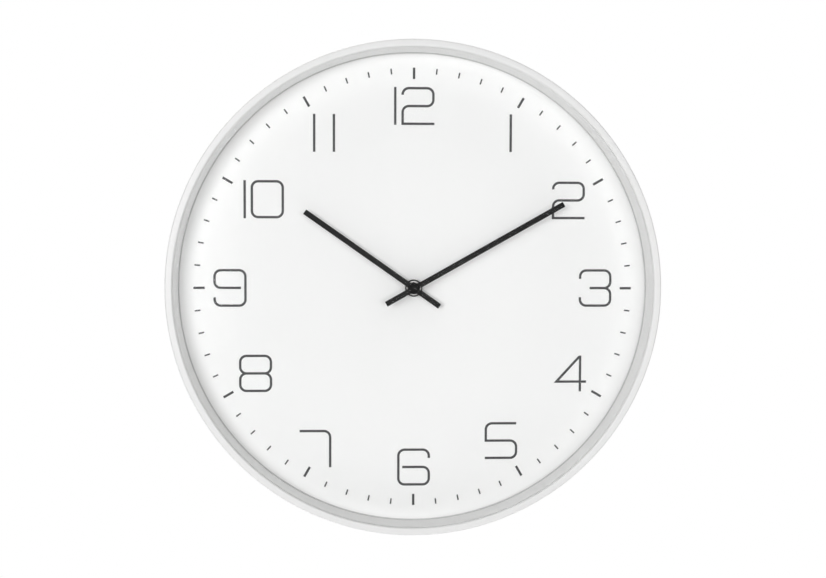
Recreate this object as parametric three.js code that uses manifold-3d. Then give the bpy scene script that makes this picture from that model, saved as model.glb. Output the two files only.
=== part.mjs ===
// A round wall clock: a painted steel case, a glass lens, a dial, two baton hands and a quartz movement.
// Millimetres, +Z up. The dial faces -Y and the wall is the plane y = 0. The origin is where the wall
// screw carries the clock. Depths are given as the distance in front of the wall, so y is minus that.
import * as THREE from "three";
import { mergeVertices } from "three/addons/utils/BufferGeometryUtils.js";
import Module from "manifold-3d";

const wasm = await Module();
wasm.setup();

// ---------- driving dimensions ----------
const GAP = 0.3; // between pieces that rest on each other
const RUNNING_GAP = 0.25; // around anything that turns
const JOIN = 0.2; // by which solids that become one piece run into each other

// case
const CASE_RADIUS = 180;
const SHEET = 1.2; // steel sheet of the case
const CASE_CLEARANCE = 0.4; // around what goes into the case
const LIP_WIDTH = 5.4; // front lip, from its outer edge to its inner edge
const LIP_OUTER_ROUND = 1.8;
const GLASS_THICKNESS = 2;
const DIAL_RECESS = 24.7; // from the front of the lip back to the dial
const DIAL_THICKNESS = 1;
const REAR_ROOM = 2.5; // from the wall to the rear of the movement
const REAR_LEDGE_WIDTH = 7.4;
const REAR_LEDGE_THICKNESS = 4;
const REAR_RING_WALL = 3;

// back plate and what holds it
const BACK_PLATE_THICKNESS = 1;
const BACK_PLATE_RECESS = 3.4; // from the wall to the rear face of the back plate
const BACK_SCREWS = 6;
const SCREW_HEAD_RADIUS = 3;
const SCREW_HEAD_HEIGHT = 1.6;
const SCREW_SHANK_RADIUS = 1.1;
const SCREW_LENGTH = 4.6;
const WINDOW_CLEARANCE = 2; // between the movement and the window that it stands in

// hanger
const HANG_HEIGHT = 120; // wall screw above the hand axis
const HANGER_WIDTH = 36;
const HANGER_HEIGHT = 42;
const HANGER_THICKNESS = 1.2;
const HANGER_ROUND = 4;
const KEYHOLE_SLOT_RADIUS = 2.5;
const KEYHOLE_ENTRY_RADIUS = 5;
const KEYHOLE_DROP = 14; // from the slot's top end down to the entry hole
const RIVET_RADIUS = 2.6;
const RIVET_HEIGHT = 0.7;

// movement body
const MOVEMENT_TOP = 27; // above the hand axis
const MOVEMENT_ROUND = 3;
const WALL = 1.2;
const COVER_THICKNESS = 1.4;
const CELL_RADIUS = 7.25;
const CELL_LENGTH = 50.5;
const CELL_CLEARANCE = 0.5;
const CONTACT_ROOM = 3.1; // beyond the cell, for the contacts at its two ends
const GEAR_ROOM = 1.1; // below the lowest gear
const PEG_INSET = 4.5;
const PEG_RADIUS = 1.6;
const PEG_TIP_RADIUS = 1;
const BEARING_RADIUS = 1.7;

// hand centre
const ARBOR_RADIUS = 1.6;
const THREAD_RADIUS = 1.1; // thin end of the arbor, which takes the minute hand and the cap nut
const TUBE_CLEARANCE = 0.35; // between the arbor and the hour wheel's tube
const TUBE_WALL = 0.55;
const BUSH_WALL = 1.1;
const BUSH_HEIGHT = 5.6; // in front of the dial
const NUT_RADIUS = 6.4;
const NUT_THICKNESS = 2.4;
const NUT_CHAMFER = 0.5;
const WASHER_THICKNESS = 0.6;

// hands, as seen from the front and turned clockwise
const HAND_WIDTH = 4;
const HAND_THICKNESS = 0.6;
const HAND_BOSS_RADIUS = 4;
const HOUR_HAND = { tip: 98.25, tail: 23.25, height: 7.6, turn: 305 };
const MINUTE_HAND = { tip: 126.75, tail: 23.5, height: 11.6, turn: 60.56 };
const CAP_RADIUS = 4;
const CAP_HEIGHT = 3.2;
const CAP_DOME = 0.4; // share of the cap's height that is domed

// gear teeth, and the distances and clockwise directions between arbors that mesh
const TEETH = {
  rotor: 8, intermediate: 48, intermediatePinion: 8, seconds: 40, secondsPinion: 8,
  third: 60, thirdPinion: 8, centre: 64, cannon: 12, works: 36, worksPinion: 10, hour: 40, knob: 12,
};
const TRAIN_DISTANCE = 11; // third wheel to seconds wheel and to centre wheel
const TRAIN_STEP = 1; // by which each distance before that is shorter
const WORKS_DISTANCE = 8.4; // minute works to cannon pinion, to hour wheel and to knob
const ROTOR_ANGLE = 70; // from the intermediate wheel
const INTERMEDIATE_ANGLE = 35; // from the hand axis, as are the next two
const THIRD_ANGLE = 300;
const WORKS_ANGLE = 250;
const KNOB_ANGLE = 242; // from the minute works
const WHEEL_THICKNESS = 0.7;
const PIVOT_RADIUS = 0.6;
const STAFF_RADIUS = 0.8;
const CANNON_NECK = 1.2; // radius on which the centre wheel's friction spring grips
const ROTOR_STAFF_RADIUS = 0.7;
const ROTOR_PIVOT_RADIUS = 0.45;
const BEARING_START = 2; // from a wheel's layer to the cover's bearing for it
const PIVOT_END = 3.4; // from a wheel's layer to the end of its rear pivot
const PINION_WALL = 0.227; // left around the bore of the minute works
const ROOT_DEPTH = 1.2; // below the pitch circle, in modules
const TIP_HEIGHT = 0.75; // above the pitch circle, in modules
const ROOT_WIDTH = 0.46; // of one pitch
const TIP_WIDTH = 0.16;

// setting knob
const KNOB_RADIUS = 5.2;
const KNOB_HEIGHT = 1.3;
const KNOB_FLUTES = 16;
const FLUTE_DEPTH = 0.4;
const KNOB_SHAFT_RADIUS = 1.3;

// motor, circuit and contacts
const MAGNET_RADIUS = 3;
const MAGNET_CLEARANCE = 0.5;
const STATOR_THICKNESS = 0.8;
const LIMB_WIDTH = 1.5; // of the stator between the rotor and the coil
const COIL_RADIUS = 2.7;
const COIL_INSET = 5.8; // from the coil's axis to the outside of the movement
const COIL_BOTTOM = -2;
const PEG_TO_COIL = 10.2; // from the stator's pegs across to the coil's axis
const COIL_DROP = 10; // from the top of the movement to the top of the coil
const CORE_HALF_WIDTH = 1.4;
const FLANGE_THICKNESS = 0.8;
const SPOOL_WALL = 0.3;
const ARM_LENGTH = 4; // overlap of the coil core on each stator arm
const BOARD_THICKNESS = 1;
const BOARD_RIGHT = -13;
const BOARD_BOTTOM = -1;
const CRYSTAL = { radius: 1, length: 6, z: 5 };
const CHIP = { radius: 3.2, height: 1.1, z: 15 };
const CONTACT_THICKNESS = 0.4;
const CONTACT_TAB_WIDTH = 1.6;
const PAD_HALF = 5; // half the side of the strip that the cell touches
const SPRING = { base: 3.6, tip: 2 };

const ROUND_SEGMENTS = 60; // case-sized rings
const NUT_SEGMENTS = 36;
const BUSH_SEGMENTS = 20; // the hand centre
const SHAFT_SEGMENTS = 12; // staffs, pegs and bores

// ---------- places that follow from them ----------
const degrees = THREE.MathUtils.degToRad;
const AXIS = { x: 0, z: 0 };

// a place at a distance and a clockwise angle from another place
function polar(distance, clockwise, from = AXIS) {
  const angle = degrees(clockwise);
  return { x: from.x + distance * Math.sin(angle), z: from.z + distance * Math.cos(angle) };
}

// gears
const intermediateDistance = TRAIN_DISTANCE - TRAIN_STEP;
const rotorDistance = intermediateDistance - TRAIN_STEP;
const intermediatePlace = polar(intermediateDistance, INTERMEDIATE_ANGLE);
const rotorPlace = polar(rotorDistance, ROTOR_ANGLE, intermediatePlace);
const thirdPlace = polar(TRAIN_DISTANCE, THIRD_ANGLE);
const worksPlace = polar(WORKS_DISTANCE, WORKS_ANGLE);
const knobPlace = polar(WORKS_DISTANCE, KNOB_ANGLE, worksPlace);
const moduleOf = (distance, teethA, teethB) => (2 * distance) / (teethA + teethB);
const rootOf = (teeth, module) => (teeth / 2 - ROOT_DEPTH) * module;
const tipOf = (teeth, module) => (teeth / 2 + TIP_HEIGHT) * module;
const rotorModule = moduleOf(rotorDistance, TEETH.rotor, TEETH.intermediate);
const secondsModule = moduleOf(intermediateDistance, TEETH.intermediatePinion, TEETH.seconds);
const thirdModule = moduleOf(TRAIN_DISTANCE, TEETH.secondsPinion, TEETH.third);
const centreModule = moduleOf(TRAIN_DISTANCE, TEETH.thirdPinion, TEETH.centre);
const worksModule = moduleOf(WORKS_DISTANCE, TEETH.cannon, TEETH.works);
const hourModule = moduleOf(WORKS_DISTANCE, TEETH.worksPinion, TEETH.hour);
const worksBore = rootOf(TEETH.worksPinion, hourModule) - PINION_WALL;

// depths of the layers behind the movement's front face, from front to rear
const HOUR_LAYER = WALL + 0.4;
const WORKS_LAYER = HOUR_LAYER + 1.2;
const CENTRE_LAYER = WORKS_LAYER + 1.2;
const PLATE_LAYER = CENTRE_LAYER + 1.6;
const PLATE_THICKNESS = 0.8;
const THIRD_LAYER = PLATE_LAYER + 1.4;
const SECONDS_LAYER = THIRD_LAYER + 1.6;
const INTERMEDIATE_LAYER = SECONDS_LAYER + 1.6;
const STATOR_LAYER = INTERMEDIATE_LAYER + 2.1;
const plateRear = PLATE_LAYER + PLATE_THICKNESS;
const coreDepth = STATOR_LAYER - GAP - STATOR_THICKNESS;
const coilCentreDepth = coreDepth + STATOR_THICKNESS / 2;
const contactTabDepth = STATOR_LAYER - 0.4;

// movement
const bayHeight = 2 * (CELL_RADIUS + CELL_CLEARANCE);
const lowestGear = Math.min(
  -tipOf(TEETH.centre, centreModule),
  worksPlace.z - tipOf(TEETH.works, worksModule),
);
const cavityBottom = lowestGear - GEAR_ROOM;
const bayTop = cavityBottom - WALL;
const bayBottom = bayTop - bayHeight;
const movementBottom = bayBottom - WALL;
const movementRight = Math.max(
  (CELL_LENGTH + CONTACT_ROOM) / 2 + WALL,
  rotorPlace.x + MAGNET_RADIUS + MAGNET_CLEARANCE + LIMB_WIDTH + GAP + COIL_RADIUS + COIL_INSET,
);
const movementDepth = Math.max(
  WALL + CELL_CLEARANCE + 2 * CELL_RADIUS + GAP,
  coilCentreDepth + COIL_RADIUS + 2 * GAP + COVER_THICKNESS,
);
const cavityDepth = movementDepth - COVER_THICKNESS - GAP;
const cellHeight = bayBottom + bayHeight / 2;
const cellDepth = WALL + CELL_CLEARANCE + CELL_RADIUS;
const coilX = movementRight - COIL_INSET;
const coilTop = MOVEMENT_TOP - COIL_DROP;

// case and dial, as distances in front of the wall
const movementRear = REAR_ROOM;
const movementFront = movementRear + movementDepth;
const inMovement = (depth) => movementFront - depth; // depth behind the front face of the movement
const dialRear = movementFront + GAP;
const dialFace = dialRear + DIAL_THICKNESS;
const caseFront = dialFace + DIAL_RECESS;
const lipInner = CASE_RADIUS - LIP_WIDTH;
const fitRadius = CASE_RADIUS - SHEET - CASE_CLEARANCE;
const glassFront = caseFront - SHEET - GAP;
const glassRear = glassFront - GLASS_THICKNESS;
const rearLedgeRear = BACK_PLATE_RECESS + BACK_PLATE_THICKNESS + GAP;
const rearLedgeFront = rearLedgeRear + REAR_LEDGE_THICKNESS;
const rearLedgeInner = fitRadius - REAR_RING_WALL - REAR_LEDGE_WIDTH;
const screwCircle = rearLedgeInner + 0.48 * REAR_LEDGE_WIDTH;
const screwHole = SCREW_SHANK_RADIUS + GAP;

// hand centre
const tubeBore = ARBOR_RADIUS + TUBE_CLEARANCE;
const tubeRadius = tubeBore + TUBE_WALL;
const bushBore = tubeRadius + GAP;
const bushRadius = bushBore + BUSH_WALL;
const bushHole = bushRadius + GAP;

// ---------- geometry helpers ----------
// points [a, b] of an arc about a centre, in degrees, both ends included
function arc(centreA, centreB, radius, from, to, steps) {
  return Array.from({ length: steps + 1 }, (_, i) => {
    const angle = degrees(from + ((to - from) * i) / steps);
    return [centreA + radius * Math.cos(angle), centreB + radius * Math.sin(angle)];
  });
}

// a ring or disc turned about the Y axis; the section is closed, as [radius, distance from the wall]
function turned(section, segments = ROUND_SEGMENTS) {
  const points = section.map(([radius, front]) => new THREE.Vector2(radius, -front));
  if (THREE.ShapeUtils.area(points) < 0) points.reverse();
  const onAxis = points.filter((p) => p.x === 0).length;
  while (onAxis && !(points[0].x === 0 && points.at(-1).x === 0)) points.push(points.shift());
  if (!onAxis) points.push(points[0].clone());
  return new THREE.LatheGeometry(points, segments);
}

// a round bar or tube along Y from rear to front
function bar(radius, rear, front, bore = 0, segments = SHAFT_SEGMENTS) {
  return turned([[bore, rear], [radius, rear], [radius, front], [bore, front]], segments);
}

// a flat plate of the given outline, drawn as seen from the front, from rear to front
function plate(shape, rear, front, curveSegments = 2) {
  const depth = front - rear;
  const geometry = new THREE.ExtrudeGeometry(shape, { depth, bevelEnabled: false, curveSegments });
  return geometry.rotateX(Math.PI / 2).translate(0, -rear, 0);
}

function block(left, right, bottom, top, rear, front) {
  const geometry = new THREE.BoxGeometry(right - left, front - rear, top - bottom);
  return geometry.translate((left + right) / 2, -(front + rear) / 2, (bottom + top) / 2);
}

function moved(geometry, { x, z }) {
  return geometry.translate(x, 0, z);
}

function roundedRectangle(left, right, bottom, top, round, Kind = THREE.Shape) {
  const outline = new Kind();
  outline.moveTo(left + round, bottom);
  outline.absarc(right - round, bottom + round, round, -Math.PI / 2, 0);
  outline.absarc(right - round, top - round, round, 0, Math.PI / 2);
  outline.absarc(left + round, top - round, round, Math.PI / 2, Math.PI);
  outline.absarc(left + round, bottom + round, round, Math.PI, 1.5 * Math.PI);
  return outline;
}

function circle(radius, { x, z } = AXIS, segments = SHAFT_SEGMENTS) {
  const points = arc(x, z, radius, 0, 360, segments).slice(1);
  return new THREE.Path(points.map(([a, b]) => new THREE.Vector2(a, b)));
}

// a closed geometry as a solid, and back
function solid(geometry) {
  const bare = geometry.clone();
  bare.deleteAttribute("normal");
  bare.deleteAttribute("uv");
  const merged = mergeVertices(bare, 1e-3);
  const vertProperties = new Float32Array(merged.attributes.position.array);
  return new wasm.Manifold(
    new wasm.Mesh({ numProp: 3, vertProperties, triVerts: new Uint32Array(merged.index.array) }),
  );
}

function geometryOf(body) {
  const mesh = body.getMesh();
  const geometry = new THREE.BufferGeometry();
  geometry.setAttribute("position", new THREE.BufferAttribute(mesh.vertProperties, 3));
  geometry.setIndex(new THREE.BufferAttribute(mesh.triVerts, 1));
  geometry.computeVertexNormals();
  return geometry;
}

function joined(...pieces) {
  return geometryOf(pieces.map(solid).reduce((whole, piece) => whole.add(piece)));
}

function cut(piece, ...tools) {
  return geometryOf(tools.map(solid).reduce((whole, tool) => whole.subtract(tool), solid(piece)));
}

// ---------- the assembly ----------
const clock = new THREE.Group();
clock.position.z = -HANG_HEIGHT;

function paint(color, roughness, metalness = 0) {
  return () => new THREE.MeshStandardMaterial({ color, roughness, metalness });
}
const whiteCoat = paint(0xf2f2f1, 0.55);
const dialWhite = paint(0xf6f6f5, 0.7);
const clearGlass = paint(0xdfe8e8, 0.05);
const backWhite = paint(0xe4e4e2, 0.8);
const blackPlastic = paint(0x1b1b1c, 0.6);
const gearPlastic = paint(0xe9e6da, 0.5);
const handBlack = paint(0x161616, 0.5);
const steel = paint(0xb9bbbd, 0.3, 1);
const zincSteel = paint(0xc8c9c4, 0.4, 1);
const brass = paint(0xc9a457, 0.3, 1);
const rubber = paint(0x242424, 0.9);
const boardGreen = paint(0x2b6b3f, 0.6);
const copperWire = paint(0xb4693a, 0.4, 1);
const magnetGrey = paint(0x4b4c50, 0.6, 0.6);
const cellGrey = paint(0x55585c, 0.45, 0.3);

function add(name, geometry, material, place = AXIS, clockwise = 0) {
  const mesh = new THREE.Mesh(geometry, material());
  mesh.name = name;
  mesh.position.set(place.x, 0, place.z);
  mesh.rotation.y = clockwise;
  clock.add(mesh);
}

// ---------- case ----------
function caseShell() {
  const inner = CASE_RADIUS - SHEET;
  const lipRear = caseFront - SHEET;
  return turned([
    [inner, 0],
    [CASE_RADIUS, 0],
    ...arc(CASE_RADIUS - LIP_OUTER_ROUND, caseFront - LIP_OUTER_ROUND, LIP_OUTER_ROUND, 0, 90, 4),
    ...arc(lipInner + SHEET, lipRear, SHEET, 90, 180, 3),
    [inner, lipRear],
  ]);
}

function innerRing() {
  return turned([
    [lipInner, dialFace + GAP],
    [fitRadius, dialFace + GAP],
    [fitRadius, glassRear - GAP],
    [lipInner, glassRear - GAP],
  ]);
}

const screwPlaces = Array.from({ length: BACK_SCREWS }, (_, i) =>
  polar(screwCircle, ((i + 0.5) * 360) / BACK_SCREWS));

function rearRing() {
  const wallInner = fitRadius - REAR_RING_WALL;
  const ring = turned([
    [wallInner, 0],
    [fitRadius, 0],
    [fitRadius, dialRear - GAP],
    [wallInner, dialRear - GAP],
    [wallInner, rearLedgeFront],
    [rearLedgeInner, rearLedgeFront],
    [rearLedgeInner, rearLedgeRear],
    [wallInner, rearLedgeRear],
  ]);
  const holes = screwPlaces.map((place) =>
    moved(bar(screwHole, rearLedgeRear - 1, rearLedgeFront + 1, 0, 8), place));
  return cut(ring, ...holes);
}

function dial() {
  return bar(fitRadius, dialRear, dialFace, bushHole, ROUND_SEGMENTS);
}

// ---------- back plate and hanger ----------
// the keyhole seen from the front: a slot that ends at the wall screw, and a round entry below it
function keyhole(slot, entry, Kind = THREE.Path) {
  const meet = Math.asin(slot / entry);
  const outline = new Kind();
  outline.absarc(0, HANG_HEIGHT, slot, 0, Math.PI);
  outline.absarc(0, HANG_HEIGHT - KEYHOLE_DROP, entry, Math.PI / 2 + meet, 2.5 * Math.PI - meet);
  return outline;
}

function backPlate() {
  const outline = new THREE.Shape();
  const radius = fitRadius - REAR_RING_WALL - GAP;
  outline.setFromPoints(circle(radius, AXIS, ROUND_SEGMENTS).getPoints());
  const right = movementRight + WINDOW_CLEARANCE;
  const bottom = movementBottom - WINDOW_CLEARANCE;
  const top = MOVEMENT_TOP + WINDOW_CLEARANCE;
  outline.holes.push(roundedRectangle(-right, right, bottom, top, MOVEMENT_ROUND, THREE.Path));
  const entry = KEYHOLE_ENTRY_RADIUS;
  outline.holes.push(keyhole(entry, entry + 2));
  for (const place of screwPlaces) outline.holes.push(circle(screwHole, place));
  for (const place of rivetPlaces) outline.holes.push(circle(screwHole, place));
  return plate(outline, BACK_PLATE_RECESS, BACK_PLATE_RECESS + BACK_PLATE_THICKNESS, 4);
}

function backScrew() {
  const headFront = BACK_PLATE_RECESS - GAP;
  const headRear = headFront - SCREW_HEAD_HEIGHT;
  return turned([
    [0, headRear],
    [0.55 * SCREW_HEAD_RADIUS, headRear],
    [SCREW_HEAD_RADIUS, headRear + 0.5 * SCREW_HEAD_HEIGHT],
    [SCREW_HEAD_RADIUS, headFront],
    [SCREW_SHANK_RADIUS, headFront],
    [SCREW_SHANK_RADIUS, headFront + SCREW_LENGTH],
    [0, headFront + SCREW_LENGTH],
  ], 12);
}

const hangerFront = BACK_PLATE_RECESS - GAP;
const hangerRear = hangerFront - HANGER_THICKNESS;
const hangerTop = HANG_HEIGHT + 0.3 * HANGER_HEIGHT;
const rivetPlaces = [-1, 1].map((side) => ({ x: side * 0.34 * HANGER_WIDTH, z: HANG_HEIGHT }));

function hangerPlate() {
  const half = HANGER_WIDTH / 2;
  const outline = roundedRectangle(-half, half, hangerTop - HANGER_HEIGHT, hangerTop, HANGER_ROUND);
  outline.holes.push(keyhole(KEYHOLE_SLOT_RADIUS, KEYHOLE_ENTRY_RADIUS));
  for (const place of rivetPlaces) outline.holes.push(circle(screwHole, place));
  return plate(outline, hangerRear, hangerFront, 4);
}

// a solid rivet: a flat head behind the hanger and a clenched end in front of the back plate
function hangerRivet() {
  const headFront = hangerRear - GAP;
  const clenchRear = BACK_PLATE_RECESS + BACK_PLATE_THICKNESS + GAP;
  return turned([
    [0, headFront - RIVET_HEIGHT],
    [RIVET_RADIUS, headFront - RIVET_HEIGHT],
    [RIVET_RADIUS, headFront],
    [SCREW_SHANK_RADIUS, headFront],
    [SCREW_SHANK_RADIUS, clenchRear],
    [0.8 * RIVET_RADIUS, clenchRear],
    [0.8 * RIVET_RADIUS, clenchRear + RIVET_HEIGHT],
    [0, clenchRear + RIVET_HEIGHT],
  ], 12);
}

// ---------- movement housing ----------
const pegPlaces = [-1, 1].flatMap((side) => [
  { x: side * (movementRight - PEG_INSET), z: cavityBottom + PEG_INSET - WALL },
  { x: side * (movementRight - PEG_INSET), z: MOVEMENT_TOP - PEG_INSET },
]);
const bearingBore = PIVOT_RADIUS + RUNNING_GAP;
const knobHole = KNOB_SHAFT_RADIUS + RUNNING_GAP;

// an outline as wide as the movement, less an inset on each side
const across = (inset, bottom, top, Kind) => roundedRectangle(
  inset - movementRight, movementRight - inset, bottom, top, MOVEMENT_ROUND - inset, Kind);
const cavityOutline = () => across(WALL, cavityBottom, MOVEMENT_TOP - WALL, THREE.Path);
const bayOutline = () => across(WALL, bayBottom, bayTop, THREE.Path);

// a bearing that stands on a wall and ends at a depth, bored through
function bearing(place, fromDepth, toDepth) {
  return moved(bar(BEARING_RADIUS, inMovement(toDepth), inMovement(fromDepth), bearingBore), place);
}

function movementHousing() {
  const face = across(0, movementBottom, MOVEMENT_TOP);
  face.holes.push(circle(bushBore, AXIS, BUSH_SEGMENTS));
  const walls = across(0, movementBottom, MOVEMENT_TOP);
  walls.holes.push(cavityOutline(), bayOutline());
  const bayWalls = across(0, movementBottom, cavityBottom);
  bayWalls.holes.push(bayOutline());
  const pegs = pegPlaces.flatMap((place) => [
    moved(bar(PEG_RADIUS, inMovement(PLATE_LAYER - GAP), inMovement(WALL - JOIN)), place),
    moved(bar(PEG_TIP_RADIUS, inMovement(cavityDepth), inMovement(WALL)), place),
  ]);
  const whole = joined(
    plate(face, inMovement(WALL), inMovement(0)),
    plate(walls, inMovement(cavityDepth), inMovement(WALL - JOIN)),
    plate(bayWalls, inMovement(movementDepth), inMovement(cavityDepth - JOIN)),
    bar(bushRadius, inMovement(WALL), dialFace + BUSH_HEIGHT, bushBore, BUSH_SEGMENTS),
    ...pegs,
    bearing(thirdPlace, WALL - JOIN, WORKS_LAYER - 0.4),
    bearing(knobPlace, WALL - JOIN, WORKS_LAYER - GAP),
    moved(bar(worksBore - RUNNING_GAP, inMovement(CENTRE_LAYER - GAP), inMovement(WALL - JOIN)),
      worksPlace),
  );
  const tabSlots = [-1, 1].map((side) => {
    const outer = side * (movementRight - WALL);
    const inner = outer - side * 3 * CONTACT_THICKNESS;
    return block(Math.min(inner, outer), Math.max(inner, outer), bayTop - 1, cavityBottom + 1,
      inMovement(contactTabDepth + CONTACT_TAB_WIDTH + 0.5), inMovement(contactTabDepth - 0.5));
  });
  return cut(whole, ...tabSlots);
}

function movementCover() {
  const outline = across(0, cavityBottom + GAP, MOVEMENT_TOP);
  outline.holes.push(circle(knobHole, knobPlace));
  const coverDepth = movementDepth - COVER_THICKNESS;
  return joined(
    plate(outline, movementRear, inMovement(coverDepth)),
    bearing(thirdPlace, THIRD_LAYER + BEARING_START, coverDepth + JOIN),
    bearing(AXIS, SECONDS_LAYER + BEARING_START, coverDepth + JOIN),
    bearing(intermediatePlace, INTERMEDIATE_LAYER + BEARING_START, coverDepth + JOIN),
    bearing(rotorPlace, coverDepth - 0.8, coverDepth + JOIN),
  );
}

const statorPegs = [coilTop + ARM_LENGTH / 2, COIL_BOTTOM - ARM_LENGTH / 2].map((z) =>
  ({ x: coilX - PEG_TO_COIL, z }));

function middlePlate() {
  const outline = across(WALL + GAP, cavityBottom + GAP, MOVEMENT_TOP - WALL - GAP);
  for (const place of [AXIS, intermediatePlace, rotorPlace]) {
    outline.holes.push(circle(bearingBore, place));
  }
  outline.holes.push(circle(knobHole, knobPlace));
  outline.holes.push(circle(tipOf(TEETH.thirdPinion, centreModule) + GAP, thirdPlace));
  for (const place of pegPlaces) outline.holes.push(circle(PEG_TIP_RADIUS + GAP, place));
  return joined(
    plate(outline, inMovement(plateRear), inMovement(PLATE_LAYER)),
    ...statorPegs.map((place) =>
      moved(bar(PEG_RADIUS, inMovement(STATOR_LAYER - GAP), inMovement(plateRear - JOIN)), place)),
  );
}

// ---------- gears ----------
// a gear outline with one tooth pointing straight up
function gearOutline(teeth, module, bore = 0) {
  const pitch = (2 * Math.PI) / teeth;
  const root = rootOf(teeth, module);
  const tip = tipOf(teeth, module);
  const corners = [[-ROOT_WIDTH, root], [-TIP_WIDTH, tip], [TIP_WIDTH, tip], [ROOT_WIDTH, root]];
  const points = [];
  for (let tooth = 0; tooth < teeth; tooth++) {
    for (const [side, radius] of corners) {
      const angle = tooth * pitch + (side * pitch) / 2;
      points.push(new THREE.Vector2(radius * Math.sin(angle), radius * Math.cos(angle)));
    }
  }
  const outline = new THREE.Shape(points);
  if (bore) outline.holes.push(circle(bore));
  return outline;
}

function gear(teeth, module, depth, thickness = WHEEL_THICKNESS, bore = 0) {
  const outline = gearOutline(teeth, module, bore);
  return plate(outline, inMovement(depth + thickness), inMovement(depth));
}

// the turn of a gear that meshes with another, which lies in a clockwise direction from that other
function meshTurn(otherTeeth, otherTurn, teeth, direction) {
  const toward = degrees(direction);
  const part = (toward - otherTurn) / ((2 * Math.PI) / otherTeeth);
  return toward + Math.PI - (0.5 - part) * ((2 * Math.PI) / teeth);
}

const staff = (fromDepth, toDepth, radius = STAFF_RADIUS) =>
  bar(radius, inMovement(toDepth), inMovement(fromDepth));

function rotorPinion() {
  return joined(
    gear(TEETH.rotor, rotorModule, INTERMEDIATE_LAYER - 0.2, WHEEL_THICKNESS + 0.4),
    staff(INTERMEDIATE_LAYER - 1.2, STATOR_LAYER + 1.8, ROTOR_STAFF_RADIUS),
    staff(PLATE_LAYER + 0.1, movementDepth - COVER_THICKNESS - 0.1, ROTOR_PIVOT_RADIUS),
  );
}

function rotorMagnet() {
  const bore = ROTOR_STAFF_RADIUS + RUNNING_GAP;
  return bar(MAGNET_RADIUS, inMovement(STATOR_LAYER + 1.4), inMovement(STATOR_LAYER - 0.2), bore);
}

// a wheel with its pinion on one staff, with a pivot at each end
function wheelAndPinion(wheel, pinion, staffEnds) {
  const [front, rear] = staffEnds;
  return joined(wheel, pinion, staff(front + 0.8, rear - 0.8), staff(front, rear, PIVOT_RADIUS));
}

function intermediateWheel() {
  return wheelAndPinion(
    gear(TEETH.intermediate, rotorModule, INTERMEDIATE_LAYER),
    gear(TEETH.intermediatePinion, secondsModule,
      SECONDS_LAYER - 0.2, INTERMEDIATE_LAYER - SECONDS_LAYER + 0.4),
    [PLATE_LAYER + 0.1, INTERMEDIATE_LAYER + PIVOT_END],
  );
}

function secondsWheel() {
  return wheelAndPinion(
    gear(TEETH.seconds, secondsModule, SECONDS_LAYER),
    gear(TEETH.secondsPinion, thirdModule, THIRD_LAYER - 0.2, SECONDS_LAYER - THIRD_LAYER + 0.4),
    [PLATE_LAYER + PLATE_THICKNESS / 2 + 0.1, SECONDS_LAYER + PIVOT_END],
  );
}

function thirdWheel() {
  return wheelAndPinion(
    gear(TEETH.third, thirdModule, THIRD_LAYER),
    gear(TEETH.thirdPinion, centreModule, CENTRE_LAYER - 0.1, THIRD_LAYER - CENTRE_LAYER + 0.3),
    [WALL + 0.1, THIRD_LAYER + PIVOT_END],
  );
}

function centreWheel() {
  const bore = CANNON_NECK + RUNNING_GAP;
  return joined(
    gear(TEETH.centre, centreModule, CENTRE_LAYER, WHEEL_THICKNESS, bore),
    bar(bore + 1, inMovement(CENTRE_LAYER + 1.3), inMovement(CENTRE_LAYER + 0.2), bore),
  );
}

function worksWheel() {
  const length = WORKS_LAYER - HOUR_LAYER + JOIN;
  return joined(
    gear(TEETH.works, worksModule, WORKS_LAYER, WHEEL_THICKNESS, worksBore),
    gear(TEETH.worksPinion, hourModule, HOUR_LAYER - 0.1, length, worksBore),
  );
}

function hourWheel() {
  const tubeFront = dialFace + HOUR_HAND.height + HAND_THICKNESS + 0.6;
  return joined(
    gear(TEETH.hour, hourModule, HOUR_LAYER, WHEEL_THICKNESS, tubeBore),
    bar(tubeRadius, inMovement(HOUR_LAYER + 0.5), tubeFront, tubeBore),
  );
}

function minuteArbor() {
  const threadFront = dialFace + MINUTE_HAND.height + HAND_THICKNESS + GAP + 1.6;
  const shoulder = dialFace + MINUTE_HAND.height - GAP;
  return joined(
    bar(ARBOR_RADIUS, inMovement(WORKS_LAYER - 0.05), shoulder),
    bar(THREAD_RADIUS, shoulder - 1, threadFront),
    gear(TEETH.cannon, worksModule, WORKS_LAYER - 0.1, WHEEL_THICKNESS + 0.2),
    staff(WORKS_LAYER, CENTRE_LAYER + 1.4, CANNON_NECK),
    staff(CENTRE_LAYER, PLATE_LAYER + PLATE_THICKNESS / 2 - 0.1, PIVOT_RADIUS),
  );
}

function settingKnob() {
  const knobFront = movementRear - GAP;
  const rim = new THREE.Shape();
  for (let i = 0; i < 2 * KNOB_FLUTES; i++) {
    const radius = KNOB_RADIUS - (i % 2) * FLUTE_DEPTH;
    const angle = (i * Math.PI) / KNOB_FLUTES;
    const [x, z] = [radius * Math.cos(angle), radius * Math.sin(angle)];
    if (i) rim.lineTo(x, z);
    else rim.moveTo(x, z);
  }
  return joined(
    plate(rim, knobFront - KNOB_HEIGHT, knobFront),
    bar(KNOB_SHAFT_RADIUS, knobFront - 0.5, inMovement(WORKS_LAYER + 0.2)),
    gear(TEETH.knob, worksModule, WORKS_LAYER, WHEEL_THICKNESS + 0.2),
    staff(WALL + 0.1, WORKS_LAYER + 0.2, PIVOT_RADIUS),
  );
}

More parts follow.
